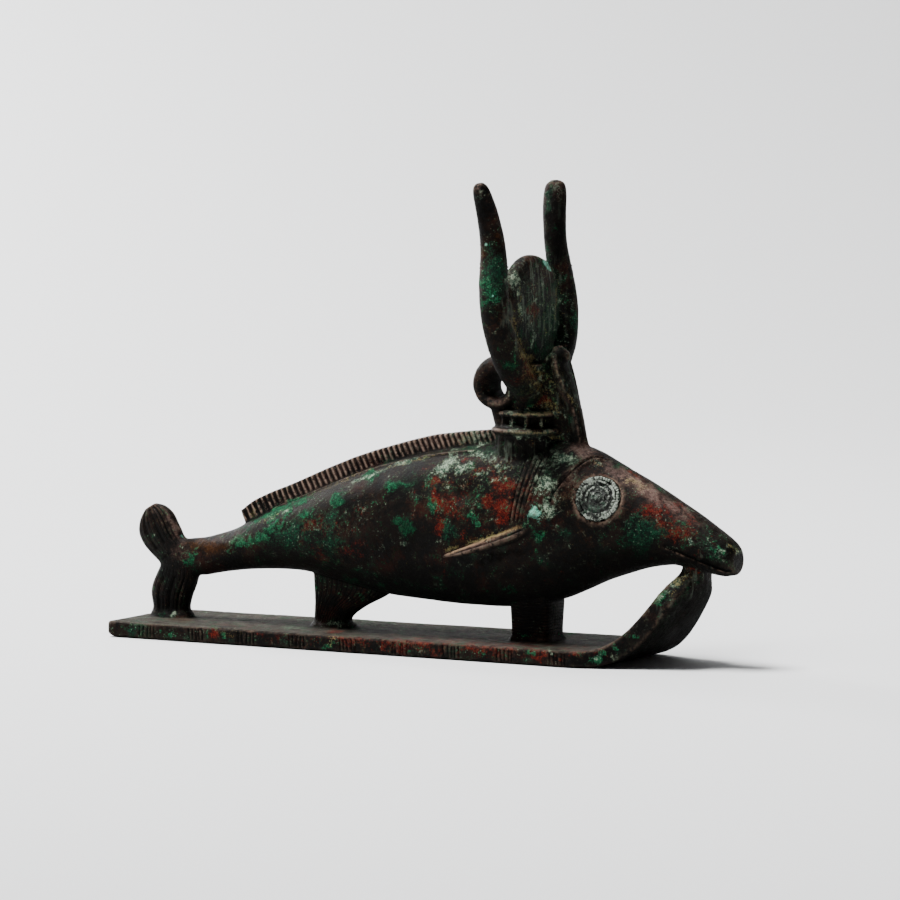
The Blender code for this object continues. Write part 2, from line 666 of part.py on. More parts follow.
def make_eyes():
    """Round sockets in the head, and the ringed discs set in them."""
    cutters = []
    radius = SOCKET_RADIUS - EYE_CLEARANCE
    depth = SOCKET_DEPTH - EYE_CLEARANCE
    profile = [(radius * share, height * MM) for share, height in EYE_RINGS]
    profile += [(radius, -depth), (0.0, -depth)]
    for name, side in (("eye_inlay_left", 1), ("eye_inlay_right", -1)):
        mouth, outward = eye_seat(side)
        cutters.append(lying_drum(f"{name}_socket", SOCKET_RADIUS, 2 * SOCKET_DEPTH, mouth, outward,
                                  sides=ROUND_SIDES))
        eye = turned(name, profile, mouth, outward, PARTS, ROUND_SIDES)
        eye.data.materials.append(metal(f"{name}_silvered", (0.33, 0.37, 0.35), 0.55, 0.55))
    return cutters


def combine(target, pieces, operation):
    """Join pieces to the casting, or cut them from it."""
    for piece in pieces:
        modifier = target.modifiers.new(f"{operation.lower()}_{piece.name}", "BOOLEAN")
        modifier.operation = operation
        modifier.solver = "EXACT"
        modifier.object = piece


def make_figure():
    """The casting: the fish, its fins, the sledge and the crown joined into one."""
    fish = make_body()
    fish.data.materials.append(metal("patinated_bronze", (0.035, 0.028, 0.022), 0.75, 0.42))
    joined = [make_back_fin(), *make_tail(), *make_feet(), *make_side_fins(), make_sledge()]
    joined += [*make_crown_base(), make_disc(), make_crown_web(), *make_horns(), *make_cobra(),
               *make_loop()]
    combine(fish, joined, "UNION")
    hole = lying_drum("loop_hole", LOOP_HOLE_RADIUS, 2 * LOOP_WIDTH, LOOP_CENTRE, Vector((0, 1, 0)),
                      sides=20)
    cut = [hole, *make_eyes(), *make_tier_recesses(), *make_grooves(), *make_edge_cuts()]
    combine(fish, cut, "DIFFERENCE")
    return fish


make_figure()
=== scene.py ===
import math

import bmesh
import bpy
import numpy as np
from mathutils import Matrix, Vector


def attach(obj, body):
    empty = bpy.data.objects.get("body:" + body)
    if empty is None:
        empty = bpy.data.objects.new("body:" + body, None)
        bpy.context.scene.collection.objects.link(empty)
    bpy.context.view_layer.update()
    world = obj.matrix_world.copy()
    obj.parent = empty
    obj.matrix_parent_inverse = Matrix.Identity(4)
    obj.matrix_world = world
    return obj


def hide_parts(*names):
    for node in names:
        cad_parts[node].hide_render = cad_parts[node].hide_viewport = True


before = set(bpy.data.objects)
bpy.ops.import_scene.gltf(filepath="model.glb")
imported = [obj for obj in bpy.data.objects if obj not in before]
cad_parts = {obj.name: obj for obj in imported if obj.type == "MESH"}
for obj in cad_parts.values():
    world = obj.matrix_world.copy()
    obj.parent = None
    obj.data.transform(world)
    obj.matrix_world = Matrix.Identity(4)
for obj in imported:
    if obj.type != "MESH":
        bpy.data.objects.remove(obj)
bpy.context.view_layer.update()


# The sledge is a flat bronze plate that the fish stands on. It widens a little to the
# front, where it turns up into a spoon-backed tongue that holds the fish's chin. Like all
# that follows up to the welt, it is a form of the wax model, in millimetres.
MM = 0.001
WAX = []
SLEDGE_TOP = 3.3
# Place and height of the middle of the plate's thickness, half width, half thickness.
SLEDGE = (
    (-69.3, 1.65, 13.8, 1.65), (-40.0, 1.65, 14.28, 1.65), (-10.0, 1.65, 14.78, 1.65),
    (20.0, 1.65, 15.27, 1.65), (34.0, 1.65, 15.5, 1.65), (40.0, 1.65, 15.6, 1.65),
    (44.2, 1.9, 14.4, 1.75), (48.1, 3.4, 12.9, 1.9), (50.9, 5.5, 11.5, 2.05),
    (53.2, 8.0, 10.5, 2.05), (55.2, 10.6, 9.8, 1.95), (57.0, 13.2, 9.2, 1.85),
    (58.4, 15.4, 7.8, 1.8), (59.3, 17.1, 5.4, 1.75), (59.8, 18.7, 3.7, 1.7),
    (60.2, 21.5, 3.2, 1.7),
)
TAIL_CORNER_RIGHT = 2.0
TAIL_CORNER_LEFT = 8.0
TAIL_CORNER_START = 0.7
TAIL_UNDERCUT = 0.35
TAIL_UNDERCUT_SLOPE = 0.2
PLATE_ROUND = 0.75
PROW_SWELL = 1.4
PROW_SWELL_FROM = 50.9
PROW_SWELL_OVER = 5.0


def glide(rows, at):
    """The rows of a table read at many places, by a smooth curve through them."""
    rows, at = np.array(rows, float), np.atleast_1d(np.asarray(at, float))
    place, values = rows[:, 0], rows[:, 1:]
    slope = np.empty_like(values)
    slope[1:-1] = (values[2:] - values[:-2]) / (place[2:] - place[:-2])[:, None]
    slope[0] = (values[1] - values[0]) / (place[1] - place[0])
    slope[-1] = (values[-1] - values[-2]) / (place[-1] - place[-2])
    i = np.clip(np.searchsorted(place, at, side="right") - 1, 0, len(place) - 2)
    span = (place[i + 1] - place[i])[:, None]
    t = np.clip((at - place[i])[:, None] / span, 0, 1)
    return ((2 * t**3 - 3 * t**2 + 1) * values[i] + (t**3 - 2 * t**2 + t) * span * slope[i]
            + (3 * t**2 - 2 * t**3) * values[i + 1] + (t**3 - t**2) * span * slope[i + 1])


def finer(rows, count):
    """A table with smooth rows put between its own, evenly from row to row."""
    rows = np.array(rows, float)
    numbered = np.column_stack([np.arange(len(rows)), rows])
    return glide(numbered, np.linspace(0, len(rows) - 1, count))


def form(rings, hoop=False):
    """Skin a closed form of the wax over rings of points. A hoop's ends meet."""
    rings = np.asarray(rings, float)
    count, sides = rings.shape[:2]
    grid = np.arange(count * sides).reshape(count, sides)
    if hoop:
        grid = np.vstack([grid, grid[:1]])
    ahead = np.roll(grid, -1, axis=1)
    faces = np.stack([grid[:-1], ahead[:-1], ahead[1:], grid[1:]], axis=-1)
    faces = faces.reshape(-1, 4).tolist()
    if not hoop:
        faces += [grid[0].tolist(), grid[-1].tolist()]
    mesh = bpy.data.meshes.new("wax")
    mesh.from_pydata((rings.reshape(-1, 3) * MM).tolist(), [], faces)
    shape = bmesh.new()
    shape.from_mesh(mesh)
    bmesh.ops.recalc_face_normals(shape, faces=shape.faces)
    shape.to_mesh(mesh)
    shape.free()
    WAX.append(mesh)
    return rings


def drawn_in(distance, radius):
    """How far a rounded corner of the plate is drawn in, at a distance from its end."""
    reach = np.clip(radius - distance, 0, radius)
    return radius - np.sqrt(radius**2 - reach**2)


sledge_rows = np.array(SLEDGE)
run = np.concatenate([[0], np.cumsum(np.hypot(*np.diff(sledge_rows[:, :2], axis=0).T))])
stations = np.concatenate([np.linspace(0, 8, 25)[:-1], np.linspace(8, run[-1], 150)])
path = glide(np.column_stack([run, sledge_rows]), stations)
along = np.gradient(path[:, :2], axis=0)
along /= np.linalg.norm(along, axis=1)[:, None]
sledge_rings = []
for (x, z, half_width, half_depth), (ax, az), distance in zip(path, along, stations):
    left = half_width - drawn_in(distance + TAIL_CORNER_START, TAIL_CORNER_LEFT)
    right = half_width - drawn_in(distance + TAIL_CORNER_START, TAIL_CORNER_RIGHT)
    swell = PROW_SWELL * min(1.0, max(0.0, (x - PROW_SWELL_FROM) / PROW_SWELL_OVER))
    undercut = half_depth * max(0.0, TAIL_UNDERCUT - TAIL_UNDERCUT_SLOPE * distance)
    ring = []
    for turn, (side, end) in enumerate(((1, 1), (-1, 1), (-1, -1), (1, -1))):
        width = left if side > 0 else right
        for angle in np.linspace(turn, turn + 1, 6) * math.pi / 2:
            ring.append((side * (width - PLATE_ROUND) + PLATE_ROUND * math.cos(angle),
                         end * (half_depth - PLATE_ROUND) + PLATE_ROUND * math.sin(angle)))
        if turn == 2:
            ring += [(share * half_width, -half_depth - swell * (1 - share**2))
                     for share in np.linspace(-0.8, 0.8, 9)]
    sledge_rings.append([(x - az * v, u, z + ax * v + (undercut if v < 0 else 0.0))
                         for u, v in ring])
form(sledge_rings)


# The fish is cast in one with its sledge. Its trunk and head are a smooth spindle, widest
# behind the gills, with a long snout that bends down. The gill cover stands a little proud
# of the shoulder behind it. Heights in these tables count from the sledge's top.
BODY = (
    (-62.0, 15.4, 8.8, 1.2), (-58.0, 16.6, 9.0, 2.5), (-54.0, 17.0, 9.1, 3.2),
    (-50.0, 17.9, 9.9, 3.8), (-46.0, 19.2, 10.5, 4.5), (-42.0, 21.2, 10.9, 5.3),
    (-36.0, 24.0, 11.3, 6.5), (-29.0, 26.9, 11.2, 7.7), (-22.0, 29.8, 10.0, 8.7),
    (-15.0, 32.5, 8.6, 9.5), (-8.0, 34.8, 7.4, 10.1), (0.0, 36.9, 6.8, 10.6),
    (8.0, 38.4, 6.4, 10.9), (16.0, 39.5, 6.3, 11.0), (24.0, 40.1, 6.9, 10.8),
    (31.0, 40.2, 8.7, 10.2), (36.0, 39.3, 10.7, 9.6), (41.0, 37.3, 12.9, 8.9),
    (46.0, 34.8, 14.6, 8.0), (51.0, 32.2, 16.0, 7.0), (56.0, 29.4, 16.6, 6.1),
    (61.0, 26.5, 16.1, 5.3), (65.0, 24.0, 15.4, 4.7), (67.6, 22.3, 15.1, 3.9),
    (68.9, 21.1, 15.2, 3.0), (69.3, 20.3, 15.7, 2.3),
)
# The gill cover's back edge: turn down from the back in degrees, place along the length.
GILL_EDGE = (
    (10.0, 41.0), (32.0, 38.2), (50.0, 35.6), (68.0, 33.8), (90.0, 32.8), (112.0, 33.6),
    (135.0, 37.0),
)
GILL_RISE = 0.45
GILL_FADE = 9.0
# The lower jaw sits back under the upper lip: place along the length, turn of the lip.
JAW_EDGE = (
    (54.0, 108.0), (56.7, 111.0), (60.0, 116.0), (63.0, 119.0), (65.4, 122.4), (69.3, 137.0),
)
JAW_SET_BACK = 0.4


def flank(x, turn):
    """Points on the fish's skin; the turn, in degrees, runs from the back down the left side."""
    x, turn = np.broadcast_arrays(np.asarray(x, float), np.asarray(turn, float))
    back, belly, half_width = glide(BODY, x.ravel()).T.reshape(3, *x.shape)
    angle = np.radians(turn)
    y = half_width * np.sin(angle)
    z = (back + belly) / 2 + (back - belly) / 2 * np.cos(angle)
    return np.stack([x, y, z + SLEDGE_TOP], axis=-1)


def ease(value, low, high):
    """A soft step from 0 to 1 as a value goes from low to high."""
    t = np.clip((value - low) / (high - low), 0, 1)
    return t * t * (3 - 2 * t)


SNOUT_CLOSES = 66.0
body_x = np.concatenate([np.linspace(BODY[0][0], SNOUT_CLOSES, 330),
                         np.linspace(SNOUT_CLOSES, BODY[-1][0], 26)[1:]])
body_turn = np.linspace(0, 360, 180, endpoint=False)
grid_x, grid_turn = np.meshgrid(body_x, body_turn, indexing="ij")
body_rings = flank(grid_x, grid_turn)
across = np.roll(body_rings, -1, axis=1) - np.roll(body_rings, 1, axis=1)
lengthwise = np.gradient(body_rings, axis=0)
outward = np.cross(across, lengthwise)
outward /= np.linalg.norm(outward, axis=-1)[..., None] + 1e-9
side_turn = np.where(grid_turn > 180, 360 - grid_turn, grid_turn)
behind = grid_x - glide(GILL_EDGE, side_turn.ravel())[:, 0].reshape(grid_x.shape)
cover = ease(behind, -0.15, 0.25) * ease(behind, GILL_FADE, 1.5)
cover *= ease(side_turn, 8, 16) * ease(side_turn, 104, 74)
jaw = ease(side_turn - glide(JAW_EDGE, grid_x.ravel())[:, 0].reshape(grid_x.shape), -1, 2.5)
jaw *= ease(grid_x, 54.5, 58.5) * ease(grid_x, 69.0, 67.0) * ease(side_turn, 176, 160)
body_rings += outward * (GILL_RISE * cover - JAW_SET_BACK * jaw)[..., None]
form(body_rings)


# The long back fin is a thin plate cast on the back, with about fifty rounded rays across
# it that lean towards the tail. The rays are one bar each, right through the plate, set out
# by Geometry Nodes along the fin's foot.
BACK_FIN = (
    (-43.6, 23.4), (-40.0, 25.8), (-30.9, 29.5), (-16.4, 35.4),
    (-0.3, 40.1), (6.6, 41.3), (16.0, 42.3),
)
BACK_FIN_LEAN = 0.45
BACK_FIN_ROOT = 2.0
BACK_FIN_PLATE = 0.95
BACK_FIN_FOOT = 1.25
# Down one side of the plate from its edge: share of the lean, of the thickness, drop.
BACK_FIN_SIDE = ((0.5, 0.0, 0.2), (0.45, 0.6, 0.35), (0.35, 0.9, 1.0))
RAY_COUNT = 50
RAY_INSET = 0.4
RAY_HALF_WIDTH = 0.44
RAY_HALF_THICKNESS = 1.32

bronze = bpy.data.materials.new("patinated_bronze")


class Thread:
    """A node tree, or one socket of it. Sums on a socket add Math nodes to its tree."""

    def __init__(self, tree, socket=None):
        self.tree = tree
        self.socket = socket

    def node(self, kind, settings=None, inputs=None, output=0):
        """Add a node: its settings first, then the values or links of its sockets."""
        made = self.tree.nodes.new(kind)
        for name, value in (settings or {}).items():
            setattr(made, name, value)
        for name, value in (inputs or {}).items():
            if isinstance(value, Thread):
                self.tree.links.new(value.socket, made.inputs[name])
            else:
                made.inputs[name].default_value = value
        return Thread(self.tree, made.outputs[output] if made.outputs else None)

    def sum(self, operation, first, second):
        """One Math node on two values or sockets."""
        return self.node("ShaderNodeMath", {"operation": operation}, {0: first, 1: second})

    def __add__(self, other):
        return self.sum("ADD", self, other)

    __radd__ = __add__

    def __sub__(self, other):
        return self.sum("SUBTRACT", self, other)

    def __rsub__(self, other):
        return self.sum("SUBTRACT", other, self)

    def __mul__(self, other):
        return self.sum("MULTIPLY", self, other)

    __rmul__ = __mul__


def step(value, low, high, start=0.0, end=1.0):
    """A soft step from start to end as a socket's value goes from low to high."""
    return value.node("ShaderNodeMapRange", {"interpolation_type": "SMOOTHSTEP"},
                      {"Value": value, "From Min": low, "From Max": high,
                       "To Min": start, "To Max": end})


def vector(tree, operation, first, second=None, output=0):
    """One Vector Math node. Scaling takes a number as its second value."""
    inputs = {0: first}
    if second is not None:
        inputs["Scale" if operation == "SCALE" else 1] = second
    return tree.node("ShaderNodeVectorMath", {"operation": operation}, inputs, output)


def stored(tree, name, kind="FLOAT_VECTOR"):
    """A value kept on a mesh's points, read in a Geometry Nodes tree."""
    return tree.node("GeometryNodeInputNamedAttribute", {"data_type": kind}, {"Name": name})


def new_tree(name, wanted):
    """A Geometry Nodes tree with named inputs, and threads to the geometry and the inputs."""
    tree = bpy.data.node_groups.new(name, "GeometryNodeTree")
    tree.interface.new_socket("Geometry", in_out="INPUT", socket_type="NodeSocketGeometry")
    for label, kind in wanted:
        tree.interface.new_socket(label, in_out="INPUT", socket_type=kind)
    tree.interface.new_socket("Geometry", in_out="OUTPUT", socket_type="NodeSocketGeometry")
    entry = tree.nodes.new("NodeGroupInput")
    return [Thread(tree, socket) for socket in entry.outputs if socket.name]


def end_tree(last, material):
    """Close a tree: realise its instances, set the material and give the geometry out."""
    plain = last.node("GeometryNodeRealizeInstances", None, {0: last})
    painted = last.node("GeometryNodeSetMaterial", None, {0: plain, "Material": material})
    last.node("NodeGroupOutput", None, {0: painted})


def run_tree(item, tree, values):
    """Add a tree to an object as a modifier, with its inputs set by identifier."""
    modifier = item.modifiers.new(tree.name, "NODES")
    modifier.node_group = tree
    for socket in tree.interface.items_tree:
        if socket.in_out == "INPUT" and socket.name in values:
            modifier[socket.identifier] = values[socket.name]
    return modifier


def settled(item):
    """The plain mesh that an object's modifiers make. The object itself goes."""
    bpy.context.view_layer.update()
    graph = bpy.context.evaluated_depsgraph_get()
    mesh = bpy.data.meshes.new_from_object(item.evaluated_get(graph))
    item.modifiers.clear()
    bpy.data.objects.remove(item, do_unlink=True)
    return mesh


def placed(name, data):
    """A new object in the scene, of a mesh, a light or a camera."""
    item = bpy.data.objects.new(name, data)
    bpy.context.scene.collection.objects.link(item)
    return item


def columns(x, y, z):
    """Rows of points or directions from their three parts, each an array or one number."""
    return np.column_stack(np.broadcast_arrays(x, y, z)).astype(float)


def points_object(name, points, edges=(), **vectors):
    """An object of loose points or lines, in millimetres, with vector attributes."""
    mesh = bpy.data.meshes.new(name)
    mesh.from_pydata((np.asarray(points, float) * MM).tolist(), list(edges), [])
    for label, rows in vectors.items():
        layer = mesh.attributes.new(label, "FLOAT_VECTOR", "POINT")
        layer.data.foreach_set("vector", np.asarray(rows, float).ravel())
    return placed(name, mesh)


# A bar on every point of a rail: "reach" runs from its foot to its tip and "across" is the
# way its thickness faces.
geometry, half_width, half_thickness, metal = new_tree("bars on a rail", (
    ("Half width", "NodeSocketFloat"), ("Half thickness", "NodeSocketFloat"),
    ("Material", "NodeSocketMaterial")))
bar = geometry.node("GeometryNodeMeshCylinder", {"fill_type": "NGON"},
                    {"Vertices": 14, "Radius": 1.0, "Depth": 1.0})
bar = geometry.node("GeometryNodeTransform", None, {0: bar, "Translation": (0.0, 0.0, 0.5)})
reach = stored(geometry, "reach")
facing = stored(geometry, "across")
spin = geometry.node("FunctionNodeAlignRotationToVector", {"axis": "Z"}, {"Vector": reach})
spin = geometry.node("FunctionNodeAlignRotationToVector", {"axis": "Y", "pivot_axis": "Z"},
                     {"Rotation": spin, "Vector": facing})
length = vector(geometry, "LENGTH", reach, output=1)
size = geometry.node("ShaderNodeCombineXYZ", None,
                     {0: half_width, 1: half_thickness, 2: length})
bars = geometry.node("GeometryNodeInstanceOnPoints", None,
                     {0: geometry, "Instance": bar, "Rotation": spin, "Scale": size})
end_tree(bars, metal)
bar_tree = geometry.tree

fin_x = np.linspace(BACK_FIN[0][0], BACK_FIN[-1][0], 160)
fin_top = glide(BACK_FIN, fin_x)[:, 0]
fin_foot = glide(BODY, fin_x)[:, 0] - BACK_FIN_ROOT
lean = BACK_FIN_LEAN * (fin_top - fin_foot)
fin_rings = []
for x, top, foot, shift in zip(fin_x, fin_top + SLEDGE_TOP, fin_foot + SLEDGE_TOP, lean):
    side = [(x - shift * share, BACK_FIN_PLATE * thick, top - drop)
            for share, thick, drop in BACK_FIN_SIDE]
    side.append((x + shift * 0.5, BACK_FIN_PLATE * BACK_FIN_FOOT, foot))
    fin_rings.append([(x, -y, z) for x, y, z in side[:0:-1]] + side)
form(fin_rings)
ray_x = np.linspace(BACK_FIN[0][0] + RAY_INSET, BACK_FIN[-1][0] - RAY_INSET, RAY_COUNT)
ray_top = glide(BACK_FIN, ray_x)[:, 0] - RAY_INSET
ray_foot = glide(BODY, ray_x)[:, 0] - BACK_FIN_ROOT
shift = BACK_FIN_LEAN * (ray_top - ray_foot)
feet = columns(ray_x + shift * 0.5, 0, ray_foot + SLEDGE_TOP)
tips = columns(ray_x - shift * 0.5, 0, ray_top + SLEDGE_TOP)
rail = points_object("ray_rail", feet, reach=(tips - feet) * MM,
                     across=np.tile((0, 1, 0), (RAY_COUNT, 1)))
run_tree(rail, bar_tree, {"Half width": RAY_HALF_WIDTH * MM,
                          "Half thickness": RAY_HALF_THICKNESS * MM, "Material": bronze})
WAX.append(settled(rail))


# The tail has two lobes, each a flat paddle with rays cut along it. The lower one and the
# belly fin reach down to the sledge as legs, and so does the square block under the breast.
# Each foot spreads a little where it meets the plate.
TAIL_UPPER = (
    (-59.2, 11.4, 4.3, 2.6), (-60.7, 13.1, 4.1, 2.4), (-62.6, 14.8, 4.2, 2.2),
    (-64.3, 16.9, 4.6, 2.1), (-65.7, 19.4, 4.6, 1.9), (-66.6, 21.4, 3.4, 1.6),
    (-67.1, 22.8, 1.5, 0.9),
)
TAIL_UPPER_ACROSS = np.array((0.86, 0.0, 0.51))
TAIL_LOWER = (
    (-59.6, 13.4, 3.4, 2.2), (-60.3, 9.2, 4.8, 2.4), (-61.2, 6.7, 5.0, 2.5),
    (-61.8, 4.7, 4.7, 2.5), (-61.9, 2.0, 4.2, 2.4), (-61.8, 0.5, 4.8, 3.0),
    (-61.8, -1.2, 5.0, 3.1),
)
BELLY_FIN = (
    (11.5, -27.4, -8.0, 2.2), (8.4, -27.2, -9.2, 2.1), (6.9, -27.1, -10.8, 2.0),
    (4.7, -27.0, -15.2, 2.0), (2.6, -27.0, -18.4, 2.0), (1.2, -27.1, -19.0, 2.1),
    (0.4, -27.6, -18.0, 2.9), (-1.2, -27.8, -17.8, 3.0),
)
BREAST_BLOCK = (
    (9.5, 4.5, 4.4), (6.0, 4.35, 4.2), (3.0, 4.2, 4.05), (1.2, 4.2, 4.05), (0.4, 4.55, 4.35),
    (-1.2, 4.7, 4.5),
)
BREAST_BLOCK_X = 24.4


def turns(count):
    """Even turns round a ring, in radians."""
    return np.linspace(0, 2 * math.pi, count, endpoint=False)


def ovals(centre, along, across, sides, square=1.0):
    """Oval rings of points, one for each row; a small power makes them squarer. Half sizes
    that are plain numbers lie along the fish's length, and across it."""
    along = columns(along, 0, 0) if np.ndim(along) < 2 else along
    across = columns(0, across, 0) if np.ndim(across) < 2 else across
    turn = turns(sides)
    far = np.sign(np.cos(turn)) * np.abs(np.cos(turn)) ** square
    wide = np.sign(np.sin(turn)) * np.abs(np.sin(turn)) ** square
    return (centre[:, None] + along[:, None] * far[None, :, None]
            + across[:, None] * wide[None, :, None])


def upright(x, z):
    """Points in the middle plane, from places and heights over the sledge's top."""
    return columns(x, 0, z + SLEDGE_TOP)


x, z, half_length, half = finer(TAIL_UPPER, 40).T
upper_lobe = form(ovals(upright(x, z), TAIL_UPPER_ACROSS * half_length[:, None], half, 72, 0.8))
x, z, half_length, half = finer(TAIL_LOWER, 40).T
lower_lobe = form(ovals(upright(x, z), half_length, half, 72, 0.8))
z, rear, front, half = finer(BELLY_FIN, 48).T
form(ovals(upright((rear + front) / 2, z), (front - rear) / 2, half, 96, 0.62))
z, half_length, half = finer(BREAST_BLOCK, 40).T
form(ovals(upright(BREAST_BLOCK_X, z), half_length, half, 72, 0.26))


# A narrow fin lies along each flank, rooted behind the gill and standing off at its tip.
# It is cast with the body. Its upper face is smooth and worn, with one fine line along it.
SIDE_FIN = (
    (28.0, 9.2, 23.6, 1.7, 1.0), (24.0, 10.4, 21.8, 1.9, 1.1), (18.5, 11.3, 19.8, 1.65, 0.95),
    (13.5, 11.9, 18.2, 1.1, 0.65), (9.6, 12.2, 17.1, 0.35, 0.3),
)
SIDE_FIN_SLOPE = math.radians(38.0)
side_fins = []
x, y, z, depth, thickness = finer(SIDE_FIN, 50).T
for side in (1, -1):
    out = np.array((0, math.cos(SIDE_FIN_SLOPE) * side, -math.sin(SIDE_FIN_SLOPE)))
    up = np.array((0, math.sin(SIDE_FIN_SLOPE) * side, math.cos(SIDE_FIN_SLOPE)))
    middle = columns(x, y * side, z + SLEDGE_TOP)
    side_fins.append(form(ovals(middle, out * depth[:, None], up * thickness[:, None], 48)))


# The crown stands on the back behind the head: a fluted drum with a rounded rim, a smaller
# tier ringed with square recesses between twelve short posts, and a plain stem.
CROWN_X = 22.6
CROWN_Z = 37.7
DRUM_HEIGHT = 8.4
DRUM_RADIUS = 7.0
DRUM_PROFILE = (
    (0.0, 0.86), (0.12, 0.93), (0.35, 0.99), (0.6, 1.0), (0.8, 0.985), (0.84, 0.99),
    (0.88, 1.07), (0.93, 1.1), (0.98, 1.07), (1.0, 1.0), (1.01, 0.9),
)
DRUM_FLUTES = 16
FLUTE_DEPTH = 0.45
TIER_HEIGHT = 3.2
TIER_SINK = 0.6
TIER_CORE = 4.95
TIER_POSTS = 12
TIER_TURN = math.radians(-8.0)
POST_RING = 5.35
POST_HALF_WIDTH = 0.5
POST_HALF_DEPTH = 0.75
STEM_RADIUS = 3.7
crown_axis = np.array((CROWN_X, 0.0, CROWN_Z))


def turned(profile, sides, flutes=0, depth=0.0, flute_top=0.0):
    """Rings of a form turned about the crown's axis: rows of height and radius."""
    turn = turns(sides)
    rings = []
    for height, radius in profile:
        cut = 0.0
        if flutes:
            cut = depth * (1 - np.abs(np.sin(turn * flutes / 2)) ** 0.6)
            cut = cut * ease(flute_top - height, 0, 0.8)
        reach = radius - cut
        rings.append(crown_axis + columns(reach * np.cos(turn), reach * np.sin(turn), height))
    return rings


profile = finer(DRUM_PROFILE, 60) * (DRUM_HEIGHT, DRUM_RADIUS)
form(turned(profile, 256, DRUM_FLUTES, FLUTE_DEPTH, DRUM_HEIGHT * 0.82))
tier_base = DRUM_HEIGHT - TIER_SINK
tier_top = DRUM_HEIGHT + TIER_HEIGHT
form(turned([(tier_base, 5.9), (tier_base + 1.15, 5.95), (tier_base + 1.2, TIER_CORE),
             (tier_top - 0.95, TIER_CORE), (tier_top - 0.9, 6.1), (tier_top - 0.45, 6.35),
             (tier_top - 0.05, 6.15), (tier_top + 0.25, 5.3)], 96))
post_turn = TIER_TURN + turns(TIER_POSTS)
spoke = columns(np.cos(post_turn), np.sin(post_turn), 0)
posts = points_object("tier_posts", crown_axis + spoke * POST_RING + (0, 0, tier_base + 0.8),
                      across=spoke,
                      reach=np.tile((0, 0, (TIER_HEIGHT - 0.7) * MM), (TIER_POSTS, 1)))
run_tree(posts, bar_tree, {"Half width": POST_HALF_WIDTH * MM,
                           "Half thickness": POST_HALF_DEPTH * MM, "Material": bronze})
WAX.append(settled(posts))
form(turned([(tier_top - 1.0, 3.75), (tier_top + 1.5, STEM_RADIUS), (tier_top + 4.0, 3.8),
             (tier_top + 7.0, 4.05), (tier_top + 9.6, 4.25)], 72))


# The disc of the crown faces forward, a little swollen, with a faint line inside its rim.
# Two lyre-shaped horns grow from the stem and hold it between them, and a web of metal
# fills their foot.
DISC_RADIUS = 11.3
DISC_WEB_HALF = 1.4
disc_centre = crown_axis + (0, 0, tier_top + 5.6 + DISC_RADIUS + 3.0)
DISC_PROFILE = (
    (0.02, 1.9), (4.0, 1.86), (7.4, 1.7), (9.2, 1.5), (9.6, 1.36), (10.1, 1.36), (10.7, 1.1),
    (11.1, 0.7), (11.3, 0.1), (11.3, -0.5), (11.05, -1.2), (10.5, -1.6), (5.0, -1.75),
    (0.02, -1.75),
)
turn = turns(120)
form([disc_centre + columns(out, radius * np.cos(turn), radius * np.sin(turn))
      for radius, out in DISC_PROFILE])
# In disc radii: distance from the middle, height; then the thickness of the left and the
# right horn.
HORN = (
    (0.06, -1.50, 0.90, 0.90), (0.46, -1.22, 1.15, 1.15), (0.84, -0.87, 1.20, 1.20),
    (1.12, -0.48, 1.16, 1.14), (1.26, 0.00, 1.10, 1.10), (1.25, 0.46, 1.04, 1.06),
    (1.16, 0.90, 1.00, 1.00), (1.13, 1.28, 0.96, 0.92), (1.18, 1.68, 0.99, 0.82),
    (1.27, 2.02, 0.96, 0.69), (1.33, 2.20, 0.80, 0.54), (1.345, 2.28, 0.42, 0.28),
)
HORN_LEAN = 0.105
HORN_FORWARD = 1.2
lateral, height, left_share, right_share = finer(HORN, 110).T
for side, spread, radius, share, flared in ((1, 1.0, 2.4, left_share, 0.0),
                                            (-1, 1.07, 2.7, right_share, 1.0)):
    rise = np.maximum(0, height + 0.6) * DISC_RADIUS
    flare = ease(height, 1.0, 2.3) * flared
    spine = disc_centre + columns(HORN_FORWARD - rise * HORN_LEAN,
                                  (lateral * spread + 0.07 * flare) * side * DISC_RADIUS,
                                  (height + 0.035 * flare) * DISC_RADIUS)
    heading = np.gradient(spine, axis=0)
    heading /= np.linalg.norm(heading, axis=1)[:, None]
    sideways = np.cross(heading, (1.0, 0.0, 0.0))
    sideways /= np.linalg.norm(sideways, axis=1)[:, None]
    girth = radius * share[:, None]
    form(ovals(spine, np.cross(sideways, heading) * girth, sideways * girth, 40))
HORN_WEB = ((-1.6, 0.30), (-1.2, 0.42), (-0.86, 0.74), (-0.5, 0.88))
height, half = finer(HORN_WEB, 20).T * DISC_RADIUS
form(ovals(disc_centre + columns(0, 0, height), DISC_WEB_HALF, half, 40, 0.6))


# A cobra rears up the crown's front on a web of metal, with a raised edge down its hood
# and its head under the disc, turned a little forward. A thick ring for hanging stands
# behind the stem.
COBRA = (
    (11.8, 2.6, 2.4, 2.3), (11.2, 6.0, 1.7, 1.5), (10.2, 11.0, 1.5, 1.6), (8.8, 15.5, 1.4, 2.5),
    (7.5, 19.0, 1.3, 3.3), (6.8, 21.6, 1.2, 3.2), (6.5, 23.4, 1.3, 2.2), (6.3, 24.8, 0.9, 1.1),
)
COBRA_HEAD = (
    (3.6, 21.4, 1.5, 1.5), (5.2, 22.3, 1.7, 1.9), (7.0, 22.9, 1.6, 1.9), (8.4, 22.6, 1.1, 1.3),
    (9.0, 22.3, 0.4, 0.5),
)
COBRA_WEB = ((1.0, 11.4), (8.0, 9.9), (16.0, 7.8), (21.0, 6.0))
COBRA_WEB_HALF = 1.1
forward, height, half_depth, half = finer(COBRA, 60).T
cobra_spine = crown_axis + columns(forward, 0, height)
form(ovals(cobra_spine, columns(half_depth, 0, 0.25 * half_depth), half, 48))
